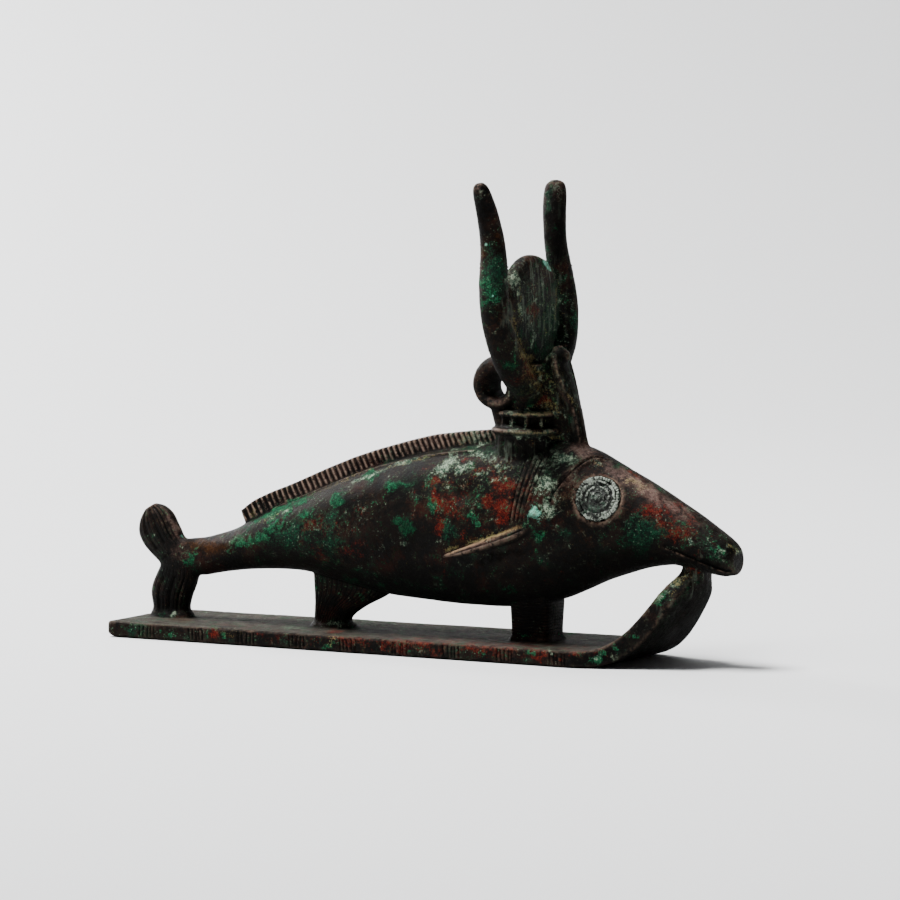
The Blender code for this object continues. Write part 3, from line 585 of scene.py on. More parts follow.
for side in (1, -1):
    edge = cobra_spine + columns(0.5 * half_depth, side * (half - 0.25), 0)
    girth = 0.42 * ease(height, 3.0, 6.0) * ease(height, 24.0, 21.0) + 0.05
    form(ovals(edge, girth, girth, 16))
x, z, half_length, half = finer(COBRA_HEAD, 24).T
form(ovals(crown_axis + columns(x, 0, z), columns(0.3 * half_length, 0, half_length), half, 32))
height, reach = finer(COBRA_WEB, 30).T
form(ovals(crown_axis + columns(reach / 2, 0, height), reach / 2, COBRA_WEB_HALF, 40, 0.5))
LOOP_HOLE = 1.9
LOOP_BAND = 3.75
LOOP_HALF_WIDTH = 4.4
LOOP_SQUARE = 0.84
loop_centre = crown_axis + (-(STEM_RADIUS + LOOP_HOLE + 0.3), 0.0, tier_top + LOOP_HOLE + 2.7)
turn = turns(96)
outwards = columns(np.cos(turn), 0, np.sin(turn))
band = (LOOP_BAND + np.sin(turn))[:, None]
form(ovals(loop_centre + outwards * (LOOP_HOLE + band / 2), outwards * band / 2,
           LOOP_HALF_WIDTH, 36, LOOP_SQUARE), hoop=True)
tie_top = loop_centre + (-0.5, 0, -(LOOP_HOLE + 1.1))
tie_foot = crown_axis + (-DRUM_RADIUS * 0.56, 0, DRUM_HEIGHT - 1.0)
share = np.linspace(0, 1, 20)
form(ovals(tie_top * (1 - share[:, None]) + tie_foot * share[:, None],
           1.8 + 1.2 * share**0.7, 0.84 * LOOP_HALF_WIDTH, 40))


# A thin welt runs along the back under the fin, on each side, where the fin's wax was
# pressed on to the back.
WELT = ((-40.0, 16), (-28.0, 17), (-9.1, 18.7), (2.5, 20.3), (14.0, 23))
x, down = finer(WELT, 160).T
girth = 0.36 * ease(x, -40, -34) * ease(x, 14.5, 11) + 0.02
for side in (1, -1):
    form(ovals(flank(x, side * down), columns(0, girth, 0), columns(0, 0, girth), 12))


# The wax is cast in one pour. The forms become one skin, and the metal runs a little soft
# in every inside corner. Round sockets are sunk in the head for the inlaid eyes.
VOXEL = 0.2
EYE_X = 42.1
EYE_TURN = 65.5
SOCKET_RADIUS = 4.45
SOCKET_DEPTH = 1.3
SOCKET_DISH = 0.035


def joined(name, meshes):
    """One object from several meshes."""
    shape = bmesh.new()
    for mesh in meshes:
        shape.from_mesh(mesh)
        bpy.data.meshes.remove(mesh)
    whole = bpy.data.meshes.new(name)
    shape.to_mesh(whole)
    shape.free()
    return placed(name, whole)


def poured(item, voxel, rounds):
    """The one skin that an object's forms are cast into, softened in its corners."""
    pour = item.modifiers.new("pour", "REMESH")
    pour.mode = "VOXEL"
    pour.voxel_size = voxel * MM
    fettle = item.modifiers.new("fettle", "SMOOTH")
    fettle.factor = 0.5
    fettle.iterations = rounds
    return settled(item)


def spots_of(mesh):
    """A mesh's points, in millimetres."""
    spots = np.empty(len(mesh.vertices) * 3)
    mesh.vertices.foreach_get("co", spots)
    return spots.reshape(-1, 3) / MM


def put_spots(mesh, spots):
    """Move a mesh's points to places in millimetres."""
    mesh.vertices.foreach_set("co", (spots * MM).ravel())
    mesh.update()


cast_mesh = poured(joined("casting", WAX), VOXEL, 5)


def softer(mesh, spots, rounds, share=1.0):
    """Points drawn towards their neighbours again and again, each by its own share."""
    edges = np.empty(len(mesh.edges) * 2, np.int32)
    mesh.edges.foreach_get("vertices", edges)
    first, second = edges.reshape(-1, 2).T
    share = np.broadcast_to(np.asarray(share, float), len(spots))
    ends, others = np.concatenate([first, second]), np.concatenate([second, first])
    moved = share[ends] > 0
    which, slot = np.unique(ends[moved], return_inverse=True)
    others = others[moved]
    ties = np.bincount(slot)[:, None]
    spots = spots.copy()
    for _ in range(rounds):
        mean = np.column_stack([np.bincount(slot, spots[others, k]) for k in range(3)]) / ties
        spots[which] += (mean - spots[which]) * share[which, None]
    return spots


# The tail's root and the crown are softest: the wax was smeared over their joints.
TAIL_ROOT = np.array((-59.0, 0.0, 15.5))
spots = spots_of(cast_mesh)
root = ease(np.linalg.norm((spots - TAIL_ROOT) * (1, 0.6, 1), axis=1), 6.5, 3.0)
crown_soft = 0.5 * ease(spots[:, 2], CROWN_Z + tier_top + 0.4, CROWN_Z + tier_top + 2.5)
crown_soft *= ease(spots[:, 2], disc_centre[2] + 14, disc_centre[2])
spots = softer(cast_mesh, spots, 60, root)
spots = softer(cast_mesh, spots, 8, crown_soft)

# A shallow hollow in the right flank, and the mound of the brightest corrosion below the
# collar: place, direction, radius and height of each.
DENTS = (
    ((13.1, -9.95, 33.0), (0.05, -0.9, 0.43), 3.3, -0.55),
    ((13.1, -9.95, 33.0), (0.05, -0.9, 0.43), 1.3, -0.35),
    ((29.6, -10.3, 29.8), (0.1, -0.98, 0.15), 3.2, 0.35),
    ((29.4, -10.3, 29.9), (0.1, -0.98, 0.15), 1.3, 0.25),
)
for middle, out, radius, amount in DENTS:
    away = np.linalg.norm((spots - middle) * (0.75, 1, 1), axis=1)
    spots += (amount * ease(away, radius, radius * 0.25))[:, None] * np.array(out)

eye_seats = {}
for name, side in (("left", 1), ("right", -1)):
    mouth = flank(EYE_X, side * EYE_TURN)
    ahead = flank(EYE_X + 0.5, side * EYE_TURN) - flank(EYE_X - 0.5, side * EYE_TURN)
    down = flank(EYE_X, side * EYE_TURN + 2) - flank(EYE_X, side * EYE_TURN - 2)
    axis = np.cross(down, ahead)
    axis /= np.linalg.norm(axis)
    if axis[1] * side < 0:
        axis = -axis
    eye_seats[name] = (mouth, axis)
    offset = spots - mouth
    rise = offset @ axis
    distance = np.linalg.norm(offset - rise[:, None] * axis, axis=1)
    near = (rise > -6) & (distance < SOCKET_RADIUS + 0.3)
    floor_at = -SOCKET_DEPTH - SOCKET_DISH * distance**2
    wall = ease(distance, SOCKET_RADIUS + 0.25, SOCKET_RADIUS - 0.1)
    sunk = np.where(near, np.minimum(0, floor_at - rise) * wall, 0)
    spots += sunk[:, None] * axis
put_spots(cast_mesh, spots)
fish = placed("fish_figure_cast", cast_mesh)


# After casting, the lines are chased in with a fine graver: the gills and the mouth, the
# collar, the rays of the fins, and groups of short cuts down the sledge's edges. Geometry
# Nodes sink every line into the skin by how near the skin is to it.
def line_set(name, paths):
    """One object of lines through points in millimetres."""
    points, edges = [], []
    for row in paths:
        start = len(points)
        points.extend(np.asarray(row, float).tolist())
        edges.extend((i, i + 1) for i in range(start, len(points) - 1))
    return points_object(name, points, edges)


def skin_line(stations, side, count=60):
    """A smooth line on the skin through rows of place and turn."""
    rows = finer(stations, count)
    return flank(rows[:, 0], side * rows[:, 1])


GILL_LINE = ((40.2, 12), (38.6, 20), (36.3, 43), (34.5, 56), (32.9, 67), (32.3, 74))
COLLAR_LINES = (
    ((29.9, 33), (29.2, 52), (28.4, 70), (27.6, 86)),
    ((28.9, 33), (28.2, 52), (27.4, 70), (26.6, 86)),
    ((27.6, 34), (27.2, 52), (26.4, 70), (25.6, 86)),
    ((26.5, 35), (26.1, 52), (25.4, 70), (24.7, 86)),
    ((25.3, 36), (25.0, 52), (24.4, 70), (23.8, 86)),
)
MOUTH_LINE = ((55.8, 110), (56.7, 111), (60.0, 116), (63.0, 119), (65.4, 122.4), (68.6, 133))
deep, fine = [], []
for side, side_fin in zip((1, -1), side_fins):
    deep += [skin_line(GILL_LINE, side), skin_line(MOUTH_LINE, side)]
    fine += [skin_line(row, side) for row in COLLAR_LINES] + [side_fin[5:-10, 8]]
    deep.append([(-65.0, side * 2.1, 13.6), (-62.6, side * 2.4, 15.6), (-59.8, side * 2.7, 17.6)])
    for ring in (12, 17, 22):
        fine.append(upper_lobe[14:-3, side * ring])
        fine.append(lower_lobe[8:-8, side * ring])

# Groups of upright cuts on the sledge's edge: each group is a row of strokes, and the rows
# repeat down the plate's length, all a little out of true.
geometry, groups, pitch, cuts, spacing, stroke, metal = new_tree("cut groups", (
    ("Groups", "NodeSocketInt"), ("Pitch", "NodeSocketFloat"), ("Cuts", "NodeSocketInt"),
    ("Spacing", "NodeSocketFloat"), ("Stroke", "NodeSocketFloat"),
    ("Material", "NodeSocketMaterial")))
apart = geometry.node("ShaderNodeCombineXYZ", None, {0: spacing})
start = geometry.node("ShaderNodeCombineXYZ", None, {2: stroke})
single = geometry.node("GeometryNodeMeshLine", {"mode": "OFFSET"}, {"Count": 2, "Offset": start})
row = geometry.node("GeometryNodeMeshLine", {"mode": "OFFSET"}, {"Count": cuts, "Offset": apart})
jitter = geometry.node("FunctionNodeRandomValue", {"data_type": "FLOAT_VECTOR"},
                       {"Min": (-0.16, 0.0, -0.1), "Max": (0.16, 0.0, 0.1), "Seed": 7})
spin = geometry.node("FunctionNodeRandomValue", {"data_type": "FLOAT_VECTOR"},
                     {"Min": (0.0, -0.12, 0.0), "Max": (0.0, 0.12, 0.0), "Seed": 11})
jog = vector(geometry, "SCALE", jitter, MM)
leap = geometry.node("ShaderNodeCombineXYZ", None, {0: pitch})
places = geometry.node("GeometryNodeMeshLine", {"mode": "OFFSET"},
                       {"Count": groups, "Offset": leap})
rows = geometry.node("GeometryNodeInstanceOnPoints", None, {0: places, "Instance": row})
rows = geometry.node("GeometryNodeRealizeInstances", None, {0: rows})
rows = geometry.node("GeometryNodeSetPosition", None, {0: rows, "Offset": jog})
strokes = geometry.node("GeometryNodeInstanceOnPoints", None,
                        {0: rows, "Instance": single, "Rotation": spin})
end_tree(strokes, metal)
cut_tree = geometry.tree
CUT_GROUPS = 9
CUTS_IN_GROUP = 5
CUT_FIRST = -61.3
CUT_FOOT = 0.6
CUT_PITCH = 12.1
CUT_SPACING = 0.85
CUT_LENGTH = 2.1
edge_cuts = []
for side in (1, -1):
    strokes = points_object("edge_cuts", [(0, 0, 0)])
    run_tree(strokes, cut_tree, {"Groups": CUT_GROUPS, "Pitch": CUT_PITCH * MM,
                                 "Cuts": CUTS_IN_GROUP, "Spacing": CUT_SPACING * MM,
                                 "Stroke": CUT_LENGTH * MM, "Material": bronze})
    mesh = settled(strokes)
    spots = spots_of(mesh) + (CUT_FIRST, 0, CUT_FOOT)
    spots[:, 1] = side * glide(sledge_rows[:, [0, 2]], spots[:, 0])[:, 0]
    put_spots(mesh, spots)
    edge_cuts.append(mesh)
edge_object = joined("edge_cuts", edge_cuts)

geometry, lines, width, depth, metal = new_tree("chase", (
    ("Lines", "NodeSocketObject"), ("Width", "NodeSocketFloat"), ("Depth", "NodeSocketFloat"),
    ("Material", "NodeSocketMaterial")))
laid = geometry.node("GeometryNodeObjectInfo", {"transform_space": "ORIGINAL"},
                     {"Object": lines}, output="Geometry")
gap = geometry.node("GeometryNodeProximity", {"target_element": "EDGES"}, {0: laid},
                    output="Distance")
normal = geometry.node("GeometryNodeInputNormal")
sink = vector(geometry, "SCALE", normal, step(gap, 0.0, width, 1.0, 0.0) * depth * -1.0)
chased = geometry.node("GeometryNodeSetPosition", None, {0: geometry, "Offset": sink})
end_tree(chased, metal)
chase_tree = geometry.tree
# What is cut, and how wide to each side and how deep.
chasing = ((line_set("deep_lines", deep), 0.42, 0.42), (line_set("fine_lines", fine), 0.3, 0.3),
           (edge_object, 0.3, 0.36))
for lines, width, depth in chasing:
    run_tree(fish, chase_tree, {"Lines": lines, "Width": width * MM, "Depth": depth * MM,
                                "Material": bronze})
cast_mesh = settled(fish)
for lines, _, _ in chasing:
    bpy.data.objects.remove(lines, do_unlink=True)
fish = placed("fish_figure_cast", cast_mesh)


# Long burial has eaten and crusted the metal. Each patch is placed by where it shows in the
# photograph's frame, seen through the same camera, and the hidden side has the same ones, a
# little shifted. Beside the corrosion, some kinds are painted shade and painted highlights.
# They are kept on the skin as attributes that the crust and colours read.
CAMERA_AZIMUTH = math.radians(29.0)
CAMERA_ELEVATION = math.radians(4.6)
CAMERA_DISTANCE = 1.1122
CAMERA_TARGET = np.array((4.33, 0.0, 40.7)) * MM
CAMERA_LENS = 220.0
SENSOR = 36.0
FRAME_PIXELS = 900
camera_back = np.array((math.sin(CAMERA_AZIMUTH) * math.cos(CAMERA_ELEVATION),
                        -math.cos(CAMERA_AZIMUTH) * math.cos(CAMERA_ELEVATION),
                        math.sin(CAMERA_ELEVATION)))
camera_place = CAMERA_TARGET + camera_back * CAMERA_DISTANCE
camera_right = np.cross(-camera_back, (0.0, 0.0, 1.0))
camera_right /= np.linalg.norm(camera_right)
camera_up = np.cross(camera_right, -camera_back)


def framed(spots):
    """Where points in millimetres show in the photograph's frame."""
    offset = spots * MM - camera_place
    far = -(offset @ camera_back)
    scale = CAMERA_LENS / SENSOR * FRAME_PIXELS / far
    middle = FRAME_PIXELS / 2
    return np.column_stack([middle + offset @ camera_right * scale,
                            middle - offset @ camera_up * scale])


# Kind of patch: column and row of its middle, half sizes, tilt in degrees, strength.
PATCHES = {
    # Painted shade: near-black patches where shade falls, under the cobra's head, in the hanging
    # ring, down the far horn, on the prow's back and low on the body.
    "painted_shade": (
        (561, 354, 6, 4.5, 0, 1), (564, 374, 3.5, 22, -14, 0.8), (497, 385, 8, 13, 0, 0.8),
        (548, 372, 5, 8, -30, 0.7), (556, 225, 10, 36, 0, 1), (566, 195, 4, 22, 0, 0.7),
        (528, 452, 36, 9, 0, 0.7), (700, 620, 26, 50, 20, 0.8), (538, 612, 30, 22, 0, 0.6),
        (645, 640, 40, 14, -35, 0.4), (518, 423, 6, 4, 0, 0.8), (533, 424, 6, 4, 0, 0.8),
        (550, 424, 6, 4, 0, 0.8), (390, 535, 50, 34, 0, 0.5), (464, 494, 12, 7, 0, 0.5),
        (545, 455, 9, 8, 0, 0.5), (600, 560, 60, 16, -10, 0.5), (706, 563, 20, 4, 15, 0.8),
        (500, 556, 32, 6, -14, 0.7), (483, 215, 8, 24, -8, 0.6), (480, 330, 10, 40, 0, 0.4),
    ),
    # Yellow-tan specks of corrosion, with painted glints among them on lit ridges, rims and the
    # snout's top.
    "ochre_glint": (
        (516, 330, 3.5, 24, -12, 0.7), (530, 362, 5, 20, -32, 0.9), (540, 384, 5, 8, -20, 0.7),
        (561, 372, 4, 10, -20, 0.5), (536, 414, 28, 2.5, 0, 0.9), (548, 408, 14, 6, 0, 0.6),
        (533, 433, 30, 2.5, 0, 0.8), (556, 436, 8, 5, 0, 0.7), (409, 462, 30, 2, -16, 0.55),
        (345, 480, 40, 2, -24, 0.5), (272, 517, 22, 2, -27, 0.5), (452, 548, 9, 2.2, -14, 1),
        (489, 537, 32, 1.8, -17, 0.9), (463, 440, 18, 6, -8, 0.5), (637, 484, 14, 5.5, 33, 0.8),
        (679, 581, 9, 5, -38, 0.9), (671, 593, 4, 5, -40, 0.5), (331, 639, 5, 6, 0, 0.7),
        (733, 549, 6, 5, 20, 0.5), (252, 512, 4, 4, 0, 0.9), (556, 300, 2, 34, 4, 0.5),
        (520, 300, 3, 26, 0, 0.5), (533, 440, 3, 14, 0, 0.3), (570, 398, 2, 16, -35, 0.6),
        (538, 388, 30, 34, 0, 0.42), (545, 300, 26, 50, 0, 0.22), (480, 470, 60, 30, 0, 0.2),
        (525, 424, 1.6, 4, 0, 0.6), (541, 424, 1.6, 4, 0, 0.6), (228, 634, 12, 5, 0, 0.4),
        (545, 325, 2, 18, 0, 0.4), (597, 463, 14, 3, 30, 0.4),
    ),
    "emerald": (
        (281, 509, 28, 4.5, -26, 1), (240, 543, 8, 7, 0, 0.9), (266, 532, 22, 7, -35, 0.8),
        (337, 501, 9, 4.5, -50, 1), (190, 559, 5, 7, 20, 0.8), (216, 628, 4, 3, 0, 0.8),
        (224, 636, 4, 4, 0, 0.6), (373, 474, 8, 5, -20, 1), (391, 487, 8, 7, 20, 1),
        (308, 513, 8, 4, 0, 0.6), (404, 527, 13, 5.5, 50, 1), (432, 508, 2.5, 9, -15, 0.9),
        (474, 521, 5, 8, -10, 0.8), (353, 581, 13, 3, 12, 0.6), (383, 584, 6, 3, 10, 0.7),
        (546, 501, 5, 5, 0, 0.7), (541, 535, 9, 5, 0, 0.5), (658, 598, 7, 6, -30, 1),
        (646, 606, 6, 3, -50, 0.8), (596, 658, 11, 4.5, -20, 0.9), (523, 634, 8, 3, 0, 0.8),
        (530, 653, 4, 4, 0, 0.7), (484, 655, 5, 4, 0, 0.7), (485, 283, 5, 6, 0, 0.8),
        (494, 300, 9, 10, 0, 0.8), (534, 347, 5, 7, 0, 0.7), (512, 367, 7, 6, 0, 0.9),
        (528, 405, 6, 4, 0, 0.8), (623, 634, 4, 3, 0, 0.7), (617, 648, 4, 4, 0, 0.7),
        (635, 637, 4, 3, 0, 0.7), (332, 642, 8, 5, 0, 0.6), (170, 632, 6, 4, 0, 0.5),
        (566, 635, 9, 2.5, 0, 0.6), (719, 548, 8, 4, 30, 0.6), (508, 590, 8, 4, 0, 0.5),
    ),
    "verdigris": (
        (480, 480, 80, 50, 0, 0.3), (300, 530, 70, 34, -15, 0.4), (540, 330, 40, 90, 0, 0.42),
        (555, 470, 26, 30, 0, 0.4), (400, 646, 260, 10, 2.5, 0.26), (350, 625, 230, 8, 2.5, 0.34),
        (549, 322, 12, 24, 0, 0.8), (534, 375, 22, 24, 0, 0.4), (549, 200, 3, 24, 5, 0.9),
        (680, 620, 40, 40, 0, 0.25), (410, 590, 90, 14, 8, 0.32), (700, 545, 34, 16, 25, 0.4),
        (297, 533, 46, 16, -18, 0.62), (332, 545, 13, 22, 0, 0.7), (409, 486, 14, 7, 0, 0.45),
        (449, 532, 7, 10, 0, 0.7), (642, 535, 19, 20, 0, 0.95), (493, 281, 13, 33, 0, 0.95),
        (514, 268, 5, 7, 0, 0.6), (557, 285, 4.5, 24, -8, 0.9), (556, 323, 6, 28, 0, 0.85),
        (546, 262, 10, 5, 30, 0.9), (540, 315, 6, 14, 0, 0.5), (575, 325, 5, 16, 0, 0.6),
        (133, 627, 13, 6, 0, 0.7), (284, 641, 12, 5, 0, 0.4), (325, 567, 10, 4, 10, 0.5),
        (494, 597, 12, 6, 0, 0.45), (453, 574, 10, 5, 30, 0.4), (481, 386, 5, 10, 0, 0.35),
        (567, 424, 5, 7, 0, 0.6), (616, 466, 13, 3.5, 32, 0.5), (560, 536, 6, 8, 0, 0.4),
        (160, 616, 5, 4, 0, 0.6), (376, 628, 14, 3, 2, 0.5), (480, 452, 26, 6, 4, 0.6),
        (409, 640, 9, 5, 0, 0.45), (120, 618, 10, 5, 0, 0.4), (640, 650, 16, 4, -30, 0.35),
        (524, 390, 14, 7, 0, 0.6), (306, 556, 30, 8, 0, 0.35), (300, 500, 14, 4, -26, 0.5),
    ),
    "pale": (
        (480, 462, 60, 22, 0, 0.34), (552, 480, 22, 40, 0, 0.42), (470, 438, 24, 7, -6, 0.6),
        (533, 300, 22, 50, 0, 0.28), (657, 597, 4.5, 4.5, 0, 0.9), (551, 660, 6, 5, 0, 0.4),
        (350, 622, 220, 6, 2.5, 0.25), (536, 434, 32, 3.5, 0, 0.8), (536, 413, 28, 3.5, 0, 0.75),
        (525, 424, 2, 5, 0, 0.6), (541, 424, 2, 5, 0, 0.6), (511, 424, 2, 5, 0, 0.5),
        (556, 424, 2, 5, 0, 0.5), (540, 390, 30, 36, 0, 0.3), (512, 284, 5, 15, -8, 0.6),
        (556, 325, 6, 26, 0, 0.4), (533, 340, 3, 12, 0, 0.5), (451, 466, 19, 9, -15, 0.85),
        (481, 455, 16, 4.5, 8, 0.7), (500, 465, 9, 9, 0, 0.7), (369, 476, 26, 2.2, -23, 0.6),
        (405, 462, 15, 2.2, -18, 0.6), (544, 480, 9, 10, 0, 0.85), (566, 459, 9, 8, -30, 0.85),
        (548, 511, 7, 15, -10, 0.75), (473, 434, 7, 8, 0, 0.8), (174, 613, 4, 3.5, 0, 0.9),
        (296, 627, 11, 2.5, 0, 0.7), (332, 623, 8, 2.5, 0, 0.8), (516, 280, 3.5, 8, -15, 0.95),
        (518, 293, 2.5, 6, 10, 0.7), (540, 378, 3, 6, -20, 0.9), (539, 364, 7, 12, -20, 0.5),
        (552, 356, 6, 5, -20, 0.3), (514, 415, 7, 3, 0, 0.8), (552, 412, 9, 4, 0, 0.8),
        (515, 433, 8, 3, 0, 0.85), (551, 433, 9, 3.5, 0, 1), (533, 433, 8, 2, 0, 0.5),
        (678, 582, 9, 4, -35, 0.6), (719, 549, 7, 3, 20, 0.5), (738, 551, 4, 4, 0, 0.7),
        (691, 542, 2, 4, -20, 0.9), (675, 548, 6, 1.5, 10, 0.6), (551, 653, 3.5, 6, 0, 0.8),
        (300, 538, 5, 5, 0, 0.5), (468, 490, 8, 5, 0, 0.4), (401, 543, 5, 3, 0, 0.4),
        (566, 333, 2, 11, 0, 0.5), (598, 464, 7, 4, 20, 0.4), (281, 513, 16, 2, -26, 0.5),
        (598, 656, 6, 3, -20, 0.4), (534, 338, 2.5, 3, 0, 0.8),
    ),
    # The brightest turquoise crust; the narrow streak near the disc's top is a painted highlight.
    "bright": (
        (534.5, 512.5, 7.4, 7, 0, 1), (547, 265, 1.9, 7, -30, 1), (493, 296, 1.6, 1.6, 0, 0.9),
        (486, 244, 2, 2, 0, 0.6), (181, 536, 2.5, 2, 0, 0.5),
    ),
    "cuprite": (
        (498, 497, 22, 20, -8, 0.55), (672, 528, 22, 6, 33, 0.6), (330, 547, 22, 7, 8, 0.4),
        (480, 495, 60, 40, 0, 0.38), (440, 645, 200, 9, 2.5, 0.5), (670, 525, 40, 20, 30, 0.45),
        (525, 370, 24, 40, 0, 0.32), (330, 535, 50, 30, 0, 0.25), (600, 500, 30, 40, 0, 0.2),
        (310.5, 524.5, 10, 7, 5, 1), (319, 558, 12, 6, 10, 0.5), (436, 482, 6, 6, 0, 0.7),
        (437, 502, 4.5, 13, -8, 1), (440, 526, 3.5, 12, 0, 0.8), (466, 459, 9, 3, 0, 0.6),
        (481, 469, 9, 5, 0, 0.5), (500, 484, 13, 9, 0, 0.85), (500, 510, 10, 14, -8, 1),
        (488, 503, 9, 8, 0, 0.8), (532, 500, 5, 3, 0, 0.7), (651, 513, 14, 5, 36, 0.75),
        (675, 530, 12, 7, 25, 0.7), (714, 545, 5, 3, 0, 0.6), (213, 632, 8, 5, 0, 0.7),
        (335, 631, 9, 2.5, 0, 0.8), (540, 655, 32, 6, 1, 0.55), (533, 314, 6, 11, 0, 0.65),
        (528, 366, 4.5, 15, -25, 0.8), (543, 398, 5, 8, -10, 0.9), (461, 532, 5, 8, 0, 0.6),
        (691, 571, 9, 4, -30, 0.6), (381, 653, 18, 4, 2, 0.35), (540, 290, 14, 8, 20, 0.3),
        (454, 482, 5, 5, 0, 0.5), (257, 634, 10, 2, 2, 0.5), (634, 474, 12, 2.5, 32, 0.4),
        (350, 510, 14, 6, 0, 0.3), (425, 655, 12, 5, 2, 0.45), (280, 522, 12, 3, -28, 0.35),
    ),
    "warm": (
        (480, 500, 70, 50, 0, 0.3), (580, 500, 40, 60, 0, 0.32), (230, 550, 50, 16, 0, 0.3),
        (400, 640, 240, 14, 2.5, 0.3), (495, 290, 20, 70, 0, 0.28), (206, 546, 26, 8, 6, 0.85),
        (183, 619, 13, 3.5, 4, 0.7), (226, 634, 10, 5, 0, 0.5), (466, 541, 15, 4, -12, 0.8),
        # The first two lie on the side fin's upper ridge, where their orange-brown is partly a
        # painted highlight.
        (452, 548, 8, 2.5, -14, 1), (482, 543, 34, 3, -15, 0.6), (567, 489, 10, 18, 30, 0.75),
        (596, 541, 20, 13, 0, 0.35), (498, 239, 6, 8, 0, 0.75), (481, 262, 3.5, 17, 0, 0.8),
        (515, 323, 4, 22, 0, 0.7), (522, 348, 6, 10, -20, 0.8), (552, 413, 9, 4, 0, 0.6),
        (533, 433, 7, 2.5, 0, 0.8), (498, 318, 14, 6, 0, 0.5), (355, 466, 40, 2.5, -24, 0.5),
        (300, 500, 20, 2, -26, 0.5), (486, 345, 10, 20, 0, 0.3), (430, 435, 16, 4, -14, 0.35),
        (350, 651, 20, 4, 2, 0.4), (590, 645, 16, 3, -10, 0.5), (363, 461, 6, 5, -20, 0.6),
        (560, 470, 14, 6, -38, 0.4), (416, 476, 11, 4, -15, 0.4), (684, 578, 8, 5, -35, 0.6),
        (620, 484, 16, 6, 30, 0.4),
    ),
    "hatch": (
        (577, 450, 15, 8, 25, 0.9), (557, 196, 6, 18, 0, 0.8), (699, 613, 8, 20, 10, 0.8),
        (470, 440, 12, 6, -10, 0.4), (690, 640, 14, 10, 0, 0.6), (556, 280, 6, 14, 0, 0.5),
        (536, 384, 8, 10, 0, 0.5),
    ),
    "streak": (
        (533, 300, 30, 52, 0, 1), (528, 455, 38, 14, 0, 0.9), (698, 590, 12, 46, 8, 0.8),
        (556, 196, 8, 26, 0, 0.7), (566, 400, 14, 40, -14, 0.5), (660, 620, 26, 40, 30, 0.4),
    ),
    # Painted highlights: a bright band down the snout's top and small glints on the horn's tip and
    # the tail's edge.
    "gloss_highlight": (
        (645, 489, 52, 4.5, 32.5, 0.75), (634, 480, 14, 4.5, 33, 0.9), (671, 507, 14, 3, 33, 0.8),
        (583, 452, 14, 6, 30, 0.7), (172, 522, 3, 12, -28, 0.5), (478, 186, 3, 3, 0, 0.9),
        (232, 540, 20, 4, -10, 0.2), (478, 545, 26, 2.2, -16, 0.5), (567, 482, 5, 12, 35, 0.4),
    ),
    # Painted highlights where the light from above falls on the snout's top, the sledge's top, the
    # back fin and the tail's edge, over paler rubbed metal.
    "sheen_highlight": (
        (176, 530, 15, 3.5, 62, 0.8), (264, 621, 80, 5, 2.5, 0.55), (433, 627, 80, 4, 2, 0.55),
        (572, 478, 12, 22, 30, 0.5), (600, 502, 22, 8, 30, 0.4), (180, 545, 16, 26, 0, 0.35),
        (455, 438, 36, 6, -10, 1), (482, 545, 30, 3, -17, 0.3), (641, 489, 62, 7.5, 32.5, 0.7),
        (678, 514, 22, 5, 33, 0.5), (387, 476, 12, 5, -20, 0.3), (440, 438, 50, 8, -14, 0.9),
        (330, 474, 60, 7, -27, 0.75), (637, 485, 18, 6, 33, 1), (581, 449, 9, 7, 30, 0.8),
        (498, 401, 15, 5, 12, 0.5), (600, 464, 10, 5, 25, 0.6), (564, 346, 6, 1.6, 0, 0.7),
        (563, 395, 2, 14, -35, 0.6), (496, 461, 9, 6, 0, 0.45), (560, 640, 30, 4, 2, 0.5),
        (556, 300, 3, 30, 0, 0.35), (672, 640, 20, 2, -50, 0.3), (568, 200, 4, 18, 0, 0.45),
        (534, 280, 14, 10, 30, 0.25), (480, 455, 30, 6, 5, 0.35), (380, 440, 60, 4, -22, 0.3),
    ),
}
# A patch is whole to 0.45 of its half sizes and gone at this many of them.
PATCH_REACH = 1.45


def patch_masks(spots, normals):
    """How much of each kind of patch lies on every point, from 0 to 1. The hidden side has
    the seen side's patches, drifted, and every outline is torn, a small patch's least."""
    drift = np.column_stack([9 * np.sin(spots[:, 2] / 7 + 1.7), 7 * np.sin(spots[:, 0] / 9 + 0.4)])
    mirrored = framed(spots * (1, -1, 1)) + drift
    hidden = ease(-(normals @ camera_back), -0.1, 0.12)[:, None]
    column, row = (framed(spots) * (1 - hidden) + mirrored * hidden).T
    torn_x = 2.6 * np.sin(row / 3.4 + 1.6 * np.sin(column / 5.3))
    torn_x += 1.5 * np.sin(row / 1.7 + column / 3.1)
    torn_y = 2.0 * np.sin(column / 3.1 + 1.4 * np.sin(row / 4.9))
    torn_y += 1.2 * np.sin(column / 1.6 - row / 2.7)
    masks = {}
    for kind, patches in PATCHES.items():
        masks[kind] = np.zeros(len(spots))
        for middle_x, middle_y, half_x, half_y, tilt, strength in patches:
            turn = math.radians(tilt)
            tear = min(1.0, (min(half_x, half_y) - 1.5) / 3.0)
            across, down = column - middle_x + torn_x * tear, row - middle_y + torn_y * tear
            u = across * math.cos(turn) + down * math.sin(turn)
            v = down * math.cos(turn) - across * math.sin(turn)
            inside = np.clip(PATCH_REACH - np.hypot(u / half_x, v / half_y), 0, 1)
            masks[kind] = np.maximum(masks[kind], strength * inside)
    return masks


def normals_of(mesh):
    """A mesh's outward directions at its points."""
    normals = np.empty(len(mesh.vertices) * 3, np.float32)
    mesh.vertex_normals.foreach_get("vector", normals)
    return normals.reshape(-1, 3)


